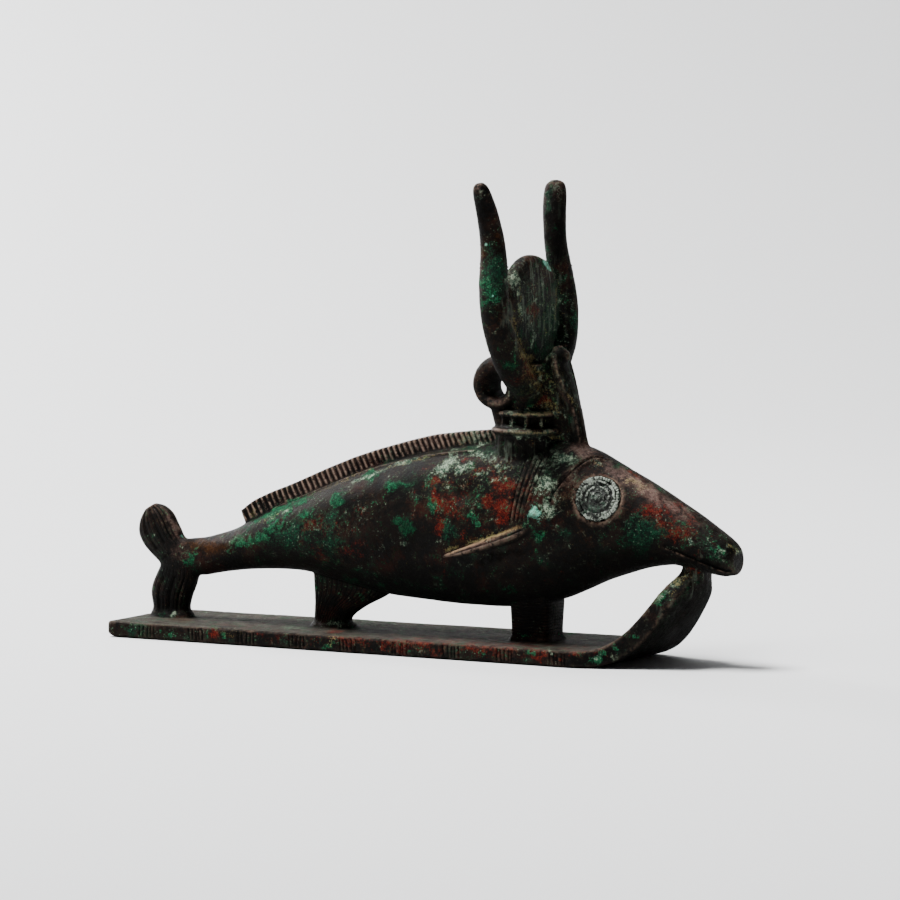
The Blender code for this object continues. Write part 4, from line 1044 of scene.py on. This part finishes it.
def relief_of(mesh, rounds):
    """How far every point stands out of the skin around it, in millimetres."""
    spots = spots_of(mesh)
    return ((spots - softer(mesh, spots, rounds)) * normals_of(mesh)).sum(axis=1)


def keep_values(mesh, **values):
    """Store numbers on a mesh's points under their names."""
    for name, numbers in values.items():
        layer = mesh.attributes.get(name) or mesh.attributes.new(name, "FLOAT", "POINT")
        layer.data.foreach_set("value", np.asarray(numbers, np.float32))


# The skin sways a little, as hand-modelled wax does; it is pitted all over and lumpy where
# the green crust grows.
geometry, sway, grain, pits, crust, metal = new_tree("age", (
    ("Sway", "NodeSocketFloat"), ("Grain", "NodeSocketFloat"), ("Pits", "NodeSocketFloat"),
    ("Crust", "NodeSocketFloat"), ("Material", "NodeSocketMaterial")))
where = geometry.node("GeometryNodeInputPosition")
broad, small, lumps = (
    geometry.node("ShaderNodeTexNoise", None, {"Vector": where, "Scale": scale, "Detail": detail})
    for scale, detail in ((110.0, 1.0), (1400.0, 3.0), (800.0, 2.0)))
cells = geometry.node("ShaderNodeTexVoronoi", {"feature": "F1"}, {"Vector": where, "Scale": 420.0})
rise = ((broad - 0.5) * sway + (small - 0.5) * grain - step(cells, 0.1, 0.3, 1.0, 0.0) * pits
        + (lumps - 0.32) * stored(geometry, "crust", "FLOAT") * crust)
push = vector(geometry, "SCALE", geometry.node("GeometryNodeInputNormal"), rise)
aged = geometry.node("GeometryNodeSetPosition", None, {0: geometry, "Offset": push})
end_tree(aged, metal)
age_tree = geometry.tree

masks = patch_masks(spots_of(cast_mesh), normals_of(cast_mesh))
keep_values(cast_mesh, crust=np.maximum.reduce([masks["emerald"], masks["pale"] * 0.8,
                                                masks["bright"] * 2.2, masks["verdigris"] * 0.4]))
run_tree(fish, age_tree, {"Sway": 0.3 * MM, "Grain": 0.05 * MM, "Pits": 0.05 * MM,
                          "Crust": 0.35 * MM, "Material": bronze})
cast_mesh = settled(fish)
on_sledge = ease(spots_of(cast_mesh)[:, 2], 3.6, 2.8)
# The second value is how deep each point lies below the skin around it; it darkens hollows to near
# black, painted shade.
keep_values(cast_mesh, edge=ease(relief_of(cast_mesh, 14), 0.03, 0.24) * (1 - 0.7 * on_sledge),
            cavity=ease(-relief_of(cast_mesh, 10), 0.02, 0.2))
KEPT_TRIANGLES = 194000
fish = placed("fish_figure_cast", cast_mesh)
thin = fish.modifiers.new("thin", "DECIMATE")
thin.ratio = KEPT_TRIANGLES / (2 * len(cast_mesh.polygons))
cast_mesh = settled(fish)
cast_mesh.name = "fish_figure_cast"
cast_mesh.materials.clear()
cast_mesh.materials.append(bronze)
cast_mesh.shade_smooth()
LOBE_RAYS = 5.5
BELLY_RAYS = 15.0
BLOCK_RAY = 0.62


def fine_rays(spots):
    """The rays of the fins, the tail and the block: a count across the rays, and where they
    are."""
    x, y, z = spots.T
    level = z - SLEDGE_TOP
    lobe = np.array(TAIL_UPPER)
    climb = np.array((-0.54, 0.0, 0.84))
    up = (spots - (lobe[0, 0], 0, lobe[0, 1] + SLEDGE_TOP)) @ climb
    rows = np.column_stack([(lobe[:, :2] - lobe[0, :2]) @ climb[[0, 2]], lobe[:, :3]])
    middle = glide(rows, np.clip(up, 0, rows[-1, 0]))
    off = (x - middle[:, 0]) * TAIL_UPPER_ACROSS[0] + (level - middle[:, 1]) * TAIL_UPPER_ACROSS[2]
    upper_count = off / np.maximum(middle[:, 2], 1.5) * LOBE_RAYS
    upper = ease(x, -56.5, -59) * ease(up, 3.0, 4.8)
    middle = glide(np.array(TAIL_LOWER)[::-1][:, [1, 0, 2]], np.clip(level, -1.2, 13.4))
    lower_count = (x - middle[:, 0]) / middle[:, 1] * LOBE_RAYS
    lower = ease(x, -54, -56) * ease(z, 14.2, 12.6) * ease(z, 4.2, 5.2)
    middle = glide(np.array(BELLY_FIN)[::-1], np.clip(level, -1.2, 11.5))
    belly_count = (x - middle[:, 0]) / (middle[:, 1] - middle[:, 0]) * BELLY_RAYS
    belly = ease(x, -29, -28) * ease(x, -5, -8) * ease(z, 14.6, 13.2) * ease(z, 4.0, 4.8)
    belly *= np.abs(y) < 2.6
    block_count = z / BLOCK_RAY + 0.15 * np.sin(x * 1.3 + y)
    block = ease(np.abs(x - BREAST_BLOCK_X), 6, 5.4) * ease(z, 12.6, 11.6) * ease(z, 4.2, 4.9)
    fin_edge, back = glide(BACK_FIN, x)[:, 0], glide(BODY, x)[:, 0]
    foot = x + BACK_FIN_LEAN * (level - (fin_edge + back) / 2 + 1.05)
    comb_count = (foot - ray_x[0]) / (ray_x[1] - ray_x[0]) - 0.25
    comb = ease(x, ray_x[0] - 1.0, ray_x[0]) * ease(x, ray_x[-1] + 0.8, ray_x[-1])
    comb *= (np.abs(y) < 2.2) * ease(level, back + 0.1, back + 0.7) * (level < fin_edge + 0.8)
    count, there = np.zeros(len(spots)), np.zeros(len(spots))
    for share, counted in ((lower, lower_count), (upper, upper_count), (belly, belly_count),
                           (block, block_count), (comb, comb_count)):
        count = np.where(share > 0, counted, count)
        there = np.maximum(there, share)
    return {"ray": count, "rayed": there, "ribbed": comb}


# The side fins' upper ridges carry a thin bright line: rubbed metal with a painted highlight on
# it.
spots, normals = spots_of(cast_mesh), normals_of(cast_mesh)
gilt = np.zeros(len(spots))
for side_fin in side_fins:
    line = side_fin[4:-4, 13]
    by = np.flatnonzero(np.linalg.norm(spots - line.mean(axis=0), axis=1) < 13)
    near = np.linalg.norm(spots[by, None] - line, axis=2).min(axis=1)
    gilt[by] = np.maximum(gilt[by], ease(near, 0.55, 0.2))
tread = ease(normals[:, 2], 0.75, 0.95) * ease(spots[:, 2], 6.0, 4.5)
# The value for faces that look down darkens them to near black: painted shade on the undersides.
keep_values(cast_mesh, under=ease(-normals[:, 2], -0.15, 0.75), tread=tread, gilt=gilt,
            **fine_rays(spots), **patch_masks(spots, normals))
fish = placed("fish_figure_cast", cast_mesh)


# The patina: dark brown over near black, with red cuprite, orange-brown wear, and dull to
# bright green corrosion in speckled patches. Hollows, the grooves between rays, undersides and
# the shade patches are darkened to near black: painted shade. Edges, ridges and the sheen and
# gloss patches are lightened: painted highlights, over some rubbed metal.
def opened(material):
    """A material's empty node tree, and the place on the piece that its patterns follow."""
    material.use_nodes = True
    material.node_tree.nodes.clear()
    tree = Thread(material.node_tree)
    return tree, tree.node("ShaderNodeTexCoord", output="Object")


def noise(scale, detail=4.0, roughness=0.6, at=None):
    """Cloudy noise on the piece itself, from 0 to 1."""
    return patina.node("ShaderNodeTexNoise", None,
                       {"Vector": spot if at is None else at, "Scale": scale,
                        "Detail": detail, "Roughness": roughness})


def mix(factor, under, over):
    """One colour over another. A plain colour is its red, green and blue."""
    under, over = ((*shade, 1.0) if isinstance(shade, tuple) else shade for shade in (under, over))
    return patina.node("ShaderNodeMix", {"data_type": "RGBA"}, {0: factor, 6: under, 7: over},
                       output=2)


def kept(name):
    """A value stored on the skin."""
    return patina.node("ShaderNodeAttribute", {"attribute_name": name}, output="Fac")


def finished(height, strength, depth, surface):
    """Close a material, with a bump from a height."""
    bumps = patina.node("ShaderNodeBump", None,
                        {"Height": height, "Strength": strength, "Distance": depth})
    shader = patina.node("ShaderNodeBsdfPrincipled", None, {**surface, "Normal": bumps})
    patina.node("ShaderNodeOutputMaterial", None, {0: shader})


patina, spot = opened(bronze)
clouds = noise(75.0, 5.0)
blotch = noise(320.0, 5.0, 0.62)
fleck = noise(1250.0, 4.0, 0.7)
dust = noise(4000.0, 2.0)
ragged = (blotch - 0.5) * 1.9 + (fleck - 0.5) * 1.5 + (dust - 0.5) * 0.9
torn = (noise(360.0, 5.0, 0.62) - 0.5) * 1.9 + (noise(1400.0, 3.0, 0.7) - 0.5) * 1.5
frayed = (noise(260.0, 5.0, 0.62) - 0.5) * 1.9 + (noise(1700.0, 3.0, 0.7) - 0.5) * 1.4
grit = (fleck - 0.5) * 1.6 + (dust - 0.5) * 1.6 + 0.5
# Scratches are drawn out along the fish, and streaks run down it.
scratch = noise(2600.0, 3.0, 0.5, vector(patina, "MULTIPLY", spot, (0.12, 1.0, 1.0)))
streaks = noise(1100.0, 4.0, 0.5, vector(patina, "MULTIPLY", spot, (1.0, 1.0, 0.14)))
speck = patina.node("ShaderNodeTexVoronoi", {"feature": "F1"}, {"Vector": spot, "Scale": 1100.0})

skin_colour = mix(step(clouds + (blotch - 0.5) * 0.9 + (fleck - 0.5) * 0.7, 0.38, 0.66),
                  (0.0021, 0.0019, 0.0016), (0.0098, 0.0052, 0.0036))
reddish = step(noise(110.0, 4.0) + ragged * 0.22, 0.52, 0.72)
skin_colour = mix(reddish * 0.6, skin_colour, (0.035, 0.0085, 0.005))
greenish = step(noise(160.0, 4.0) + ragged * 0.25, 0.52, 0.74)
skin_colour = mix(greenish * 0.65, skin_colour, (0.0065, 0.017, 0.011))
# Kind of patch; what tears its outline, where its soft step begins and ends, its strength;
# what mottles it, where that soft step begins and ends, its dark and its light colour.
COATS = (
    ("warm", torn * 0.75, 0.25, 0.85, 0.9, grit, 0.3, 0.8,
     (0.01, 0.0033, 0.0012), (0.042, 0.016, 0.0044)),
    # painted highlight, over paler rubbed metal
    ("sheen_highlight", ragged * 0.35, 0.1, 0.95, 0.75, grit, 0.2, 0.9,
     (0.024, 0.0115, 0.0095), (0.115, 0.07, 0.056)),
    ("cuprite", frayed * 0.95, 0.3, 0.8, 0.9, grit + (blotch - 0.5), 0.2, 0.8,
     (0.017, 0.0026, 0.002), (0.135, 0.0095, 0.004)),
    ("verdigris", ragged * 0.95, 0.25, 0.8, 0.85, grit, 0.35, 0.85,
     (0.002, 0.01, 0.0062), (0.0085, 0.06, 0.029)),
    ("emerald", ragged * 1.25, 0.3, 0.75, 0.92, grit, 0.25, 0.85,
     (0.0013, 0.0115, 0.0058), (0.013, 0.115, 0.05)),
    ("pale", torn * 1.2, 0.3, 0.9, 0.93, grit + (blotch - 0.5) * 0.8, 0.3, 0.85,
     (0.022, 0.05, 0.033), (0.34, 0.42, 0.3)),
    # yellow-tan specks, partly painted glints
    ("ochre_glint", (dust - 0.5) * 2.4 + (fleck - 0.5) * 1.9, 0.5, 1.0, 0.8, grit, 0.0, 1.0,
     (0.2, 0.165, 0.066), (0.2, 0.165, 0.066)),
    ("bright", ragged * 0.45, 0.3, 0.75, 1.0, grit, 0.1, 0.7,
     (0.012, 0.13, 0.075), (0.24, 0.62, 0.46)),
)
coats = {}
for kind, tear, low, high, strength, mottle, dark_at, light_at, dark, light in COATS:
    coats[kind] = step(kept(kind) + tear, low, high)
    skin_colour = mix(coats[kind] * strength, skin_colour,
                      mix(step(mottle, dark_at, light_at), dark, light))

greener = clouds + coats["verdigris"] * 0.3 + (blotch - 0.5)
stray = step(speck, 0.2, 0.07) * step(greener, 0.48, 0.66)
# Painted highlight along the side fins' upper ridges, over rubbed metal.
rubbed_ridge_glint = kept("gilt") * step(fleck * 0.6 + blotch * 0.5, 0.42, 0.62)
trodden = kept("tread") * step(scratch * 0.7 + blotch * 0.5 + fleck * 0.4, 0.62, 1.0)
mossy = kept("tread") * step(blotch + (fleck - 0.5) * 0.8, 0.52, 0.64)
# Edges lighter: rubbed metal, with a painted highlight where the light catches them.
worn_edge_highlight = kept("edge") * step(blotch + (fleck - 0.5) * 0.9, 0.34, 0.58)
strokes = [patina.sum("SINE", vector(patina, "DOT_PRODUCT", spot, way, 1) + blotch * 9.0, 0.0)
           for way in ((3900.0, 1400.0, 5600.0), (6100.0, -1400.0, -3300.0))]
crossed = patina.sum("MAXIMUM", *strokes)
hatched = step(crossed, 0.75, 1.0) * step(kept("hatch") + ragged * 1.4, 0.5, 0.9)
wave = patina.sum("SINE", kept("ray") * (2 * math.pi) + (blotch - 0.5) * 2.0, 0.0)
crusty = step(coats["verdigris"] * 0.5 + coats["emerald"] + coats["pale"] + coats["bright"],
              0.0, 1.0)
# Painted highlight on the crests of the back fin's rays, over worn metal.
crest_highlight = step(wave * -1.0, 0.1, 0.95) * kept("ribbed") * step(fleck + clouds * 0.5, 0.6, 0.85)
crest_highlight = crest_highlight * (1.0 - crusty * 0.8)
# Painted shade: the grooves between the rays of the fins, the tail and the breast block are
# darkened; the bump also sinks them.
shaded_groove = step(wave, 0.0, 0.9) * kept("rayed") * step(blotch + fleck * 0.5, 0.45, 0.7)
streaky = step(kept("streak") + ragged * 0.2, 0.2, 0.7)
# Painted highlight: lighter colour, a little smoother, where the gloss patches lie.
glossy_highlight = kept("gloss_highlight") * step(blotch * 0.6 + fleck * 0.6, 0.45, 0.75)
# Painted shade: near black where the shade patches lie. These places are also made rougher.
painted_shade_mask = step(kept("painted_shade") + ragged * 0.4, 0.25, 0.8)
for cover, strength, shade in (
        (stray, 0.75, (0.11, 0.19, 0.12)),
        # painted highlight on the side fins' ridges
        (rubbed_ridge_glint, 0.85, (0.23, 0.145, 0.07)),
        (trodden, 0.6, (0.085, 0.074, 0.06)),
        (mossy, 0.5, (0.012, 0.036, 0.022)),
        # rubbed edges, with painted highlight
        (worn_edge_highlight, 0.75, (0.2, 0.135, 0.1)),
        (hatched, 0.5, (0.14, 0.13, 0.1)),
        # painted highlight on the rays' crests
        (crest_highlight, 0.9, (0.27, 0.19, 0.145)),
        # painted shade in the grooves between rays
        (shaded_groove, 0.8, (0.0018, 0.0016, 0.0014)),
        # painted shade in hollows
        (kept("cavity"), 0.9, (0.002, 0.0018, 0.0016)),
        (streaky * step(streaks, 0.53, 0.66), 0.65, (0.085, 0.105, 0.078)),
        (streaky * step(streaks, 0.46, 0.36), 0.75, (0.0025, 0.0022, 0.002)),
        # painted highlight
        (glossy_highlight, 0.75, (0.19, 0.118, 0.098)),
        # painted shade of the shade patches
        (painted_shade_mask, 0.8, (0.0016, 0.0015, 0.0013)),
        # painted shade on faces that look down
        (kept("under"), 0.85, (0.0015, 0.0014, 0.0012))):
    skin_colour = mix(cover * strength, skin_colour, shade)
dull = (0.52 + (fleck - 0.5) * 0.5 + (dust - 0.5) * 0.4 + crusty * 0.25 + painted_shade_mask * 0.3
        + kept("under") * 0.3 + kept("tread") * 0.2 - coats["sheen_highlight"] * 0.08 - glossy_highlight * 0.2)
height = (blotch * 0.4 + fleck * 0.42 + dust * 0.16 + scratch * 0.12 + crusty * fleck * 0.7
          - shaded_groove * 0.22 + streaky * streaks * 0.5 - hatched * 0.15)
finished(height, 0.85, 0.0006, {"Base Color": skin_colour, "Roughness": dull,
                                "Metallic": worn_edge_highlight * 0.5, "IOR": 1.13})
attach(fish, "root")
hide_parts("fish_figure")


# The eyes are discs inlaid in round sockets: a hatched rim, a groove, a plain ring and a
# small boss. They follow the curve of the head, and are corroded grey and green.
EYE_PROFILE = (
    (0.02, 0.3), (0.45, 0.28), (0.75, 0.08), (1.0, 0.02), (1.25, 0.2), (1.5, 0.02), (2.0, 0.0),
    (2.3, 0.22), (2.6, 0.0), (3.0, -0.05), (3.3, 0.28), (3.55, 0.24), (3.75, -0.1), (3.95, 0.15),
    (4.15, 0.36), (4.32, 0.2), (4.4, -0.2), (4.4, -1.0), (0.02, -1.0),
)
EYE_RIM_BARS = 46
EYE_BAR_FROM = 3.85
EYE_BAR_TO = 4.36
EYE_BAR_LIFT = 0.2
inlay = bpy.data.materials.new("silvered_inlay")
turn = turns(120)
bar_turn = turns(EYE_RIM_BARS)
for name, (mouth, axis) in eye_seats.items():
    forward = np.cross(axis, (0.0, 0.0, 1.0))
    forward /= np.linalg.norm(forward)
    upward = np.cross(forward, axis)
    side = 1 if name == "left" else -1
    patch_x, patch_turn = np.meshgrid(np.linspace(EYE_X - 5, EYE_X + 5, 21),
                                      np.linspace(EYE_TURN - 25, EYE_TURN + 25, 21))
    around = flank(patch_x.ravel(), side * patch_turn.ravel()) - mouth
    a, b, rise = around @ forward, around @ upward, around @ axis
    close = np.hypot(a, b) < 5
    terms = np.column_stack([a * a, b * b, a * b, a, b])[close]
    bend = np.linalg.lstsq(terms, rise[close], rcond=None)[0]

    def bent(a, b, rise):
        """Points of the inlay, laid on the head's curve."""
        lift = np.column_stack([a * a, b * b, a * b, a, b]) @ bend
        return mouth + np.outer(a, forward) + np.outer(b, upward) + np.outer(rise + lift, axis)

    WAX.clear()
    form([bent(radius * np.cos(turn), radius * np.sin(turn), np.full(120, out))
          for radius, out in EYE_PROFILE])
    inner, outer = (bent(radius * np.cos(bar_turn), radius * np.sin(bar_turn),
                         np.full(EYE_RIM_BARS, EYE_BAR_LIFT))
                    for radius in (EYE_BAR_FROM, EYE_BAR_TO))
    rail = points_object("rim_rail", inner, reach=(outer - inner) * MM,
                         across=np.tile(axis, (EYE_RIM_BARS, 1)))
    run_tree(rail, bar_tree, {"Half width": 0.17 * MM, "Half thickness": 0.3 * MM,
                              "Material": inlay})
    WAX.append(settled(rail))
    eye_mesh = poured(joined("eye", WAX), 0.075, 3)
    keep_values(eye_mesh, crust=np.ones(len(eye_mesh.vertices)))
    disc = placed("eye", eye_mesh)
    run_tree(disc, age_tree, {"Sway": 0.3 * MM, "Grain": 0.5 * MM, "Pits": 0.2 * MM,
                              "Crust": 0.5 * MM, "Material": inlay})
    eye_mesh = settled(disc)
    keep_values(eye_mesh, edge=ease(relief_of(eye_mesh, 14), 0.0, 0.08),
                cavity=ease(-relief_of(eye_mesh, 14), 0.0, 0.08))
    eye_mesh.materials.clear()
    eye_mesh.materials.append(inlay)
    eye_mesh.shade_smooth()
    eye = placed(f"eye_disc_{name}", eye_mesh)
    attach(eye, "root")
    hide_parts(f"eye_inlay_{name}")
patina, spot = opened(inlay)
blotch = noise(500.0, 5.0)
fleck = noise(2200.0, 4.0, 0.7)
eye_colour = mix(step(fleck + (blotch - 0.5) * 0.9, 0.36, 0.66),
                 (0.0035, 0.004, 0.0034), (0.046, 0.052, 0.042))
green = step(blotch + (fleck - 0.5) * 0.9, 0.5, 0.64)
eye_colour = mix(green * 0.6, eye_colour, (0.012, 0.06, 0.032))
bared = kept("edge") * step(fleck * 0.5 + blotch * 0.3 + noise(170.0) * 0.5, 0.58, 0.72)
eye_colour = mix(bared * 0.8, eye_colour, (0.44, 0.48, 0.41))
# Painted shade: the inlay's hollows darkened to near black.
eye_colour = mix(kept("cavity") * 0.9, eye_colour, (0.0022, 0.0022, 0.002))
finished(fleck + blotch * 0.5, 0.7, 0.0003,
         {"Base Color": eye_colour, "Roughness": 0.45 + (fleck - 0.5) * 0.5,
          "Metallic": kept("edge") * 0.4, "IOR": 1.3})


# The photograph's setting: a pale sweep of paper under one broad soft light from above,
# and the camera low and to the fish's right, a little ahead of its middle.
SWEEP_FLAT = 0.55
SWEEP_BEND = 0.9
SWEEP_HALF_WIDTH = 1.8
PAPER_DROP = 0.00002
sweep_run = [(-0.9, 0.0), (SWEEP_FLAT, 0.0)]
sweep_run += [(SWEEP_FLAT + SWEEP_BEND * math.sin(turn), SWEEP_BEND - SWEEP_BEND * math.cos(turn))
              for turn in np.linspace(0, math.pi / 2, 24)[1:]]
sweep_run.append((SWEEP_FLAT + SWEEP_BEND, 2.2))
away = -camera_back * (1, 1, 0)
away /= np.linalg.norm(away)
sweep_points = [away * run + camera_right * side * SWEEP_HALF_WIDTH + (0, 0, rise - PAPER_DROP)
                for run, rise in sweep_run for side in (-1, 1)]
sweep_mesh = bpy.data.meshes.new("paper_sweep")
sweep_mesh.from_pydata(np.array(sweep_points).tolist(), [],
                       [(i, i + 1, i + 3, i + 2) for i in range(0, 2 * len(sweep_run) - 2, 2)])
sweep_mesh.shade_smooth()
paper = bpy.data.materials.new("pale_paper")
paper.use_nodes = True
for name, value in (("Base Color", (0.78, 0.785, 0.79, 1.0)), ("Roughness", 0.9),
                    ("Specular IOR Level", 0.1)):
    paper.node_tree.nodes["Principled BSDF"].inputs[name].default_value = value
sweep_mesh.materials.append(paper)
sweep = placed("paper_sweep", sweep_mesh)


def soft_light(name, place, size, power, target=(0.0, 0.0, 0.03)):
    """A square soft light, aimed at the figure."""
    light = bpy.data.lights.new(name, "AREA")
    light.size = size
    light.energy = power
    item = placed(name, light)
    item.location = place
    item.rotation_euler = (Vector(place) - Vector(target)).to_track_quat("Z", "Y").to_euler()


soft_light("light_above", (-0.3, -0.12, 1.0), 0.4, 33.0)
soft_light("light_left", (-0.8, -1.0, 0.9), 0.3, 3.0)
soft_light("light_paper", (-0.7, 1.0, 1.6), 1.2, 9.0, (-0.7, 1.4, 0.4))
soft_light("light_sweep", (-0.95, 0.42, 0.45), 0.3, 11.5, (-0.55, 0.7, 0.0))
world = bpy.data.worlds.new("studio")
world.use_nodes = True
world.node_tree.nodes["Background"].inputs["Color"].default_value = (0.8, 0.82, 0.85, 1.0)
world.node_tree.nodes["Background"].inputs["Strength"].default_value = 0.05
bpy.context.scene.world = world

lens = bpy.data.cameras.new("camera")
lens.lens = CAMERA_LENS
lens.sensor_width = SENSOR
lens.clip_end = 10.0
camera = placed("camera", lens)
camera.location = camera_place
camera.rotation_euler = Vector(camera_back).to_track_quat("Z", "Y").to_euler()
bpy.context.scene.camera = camera
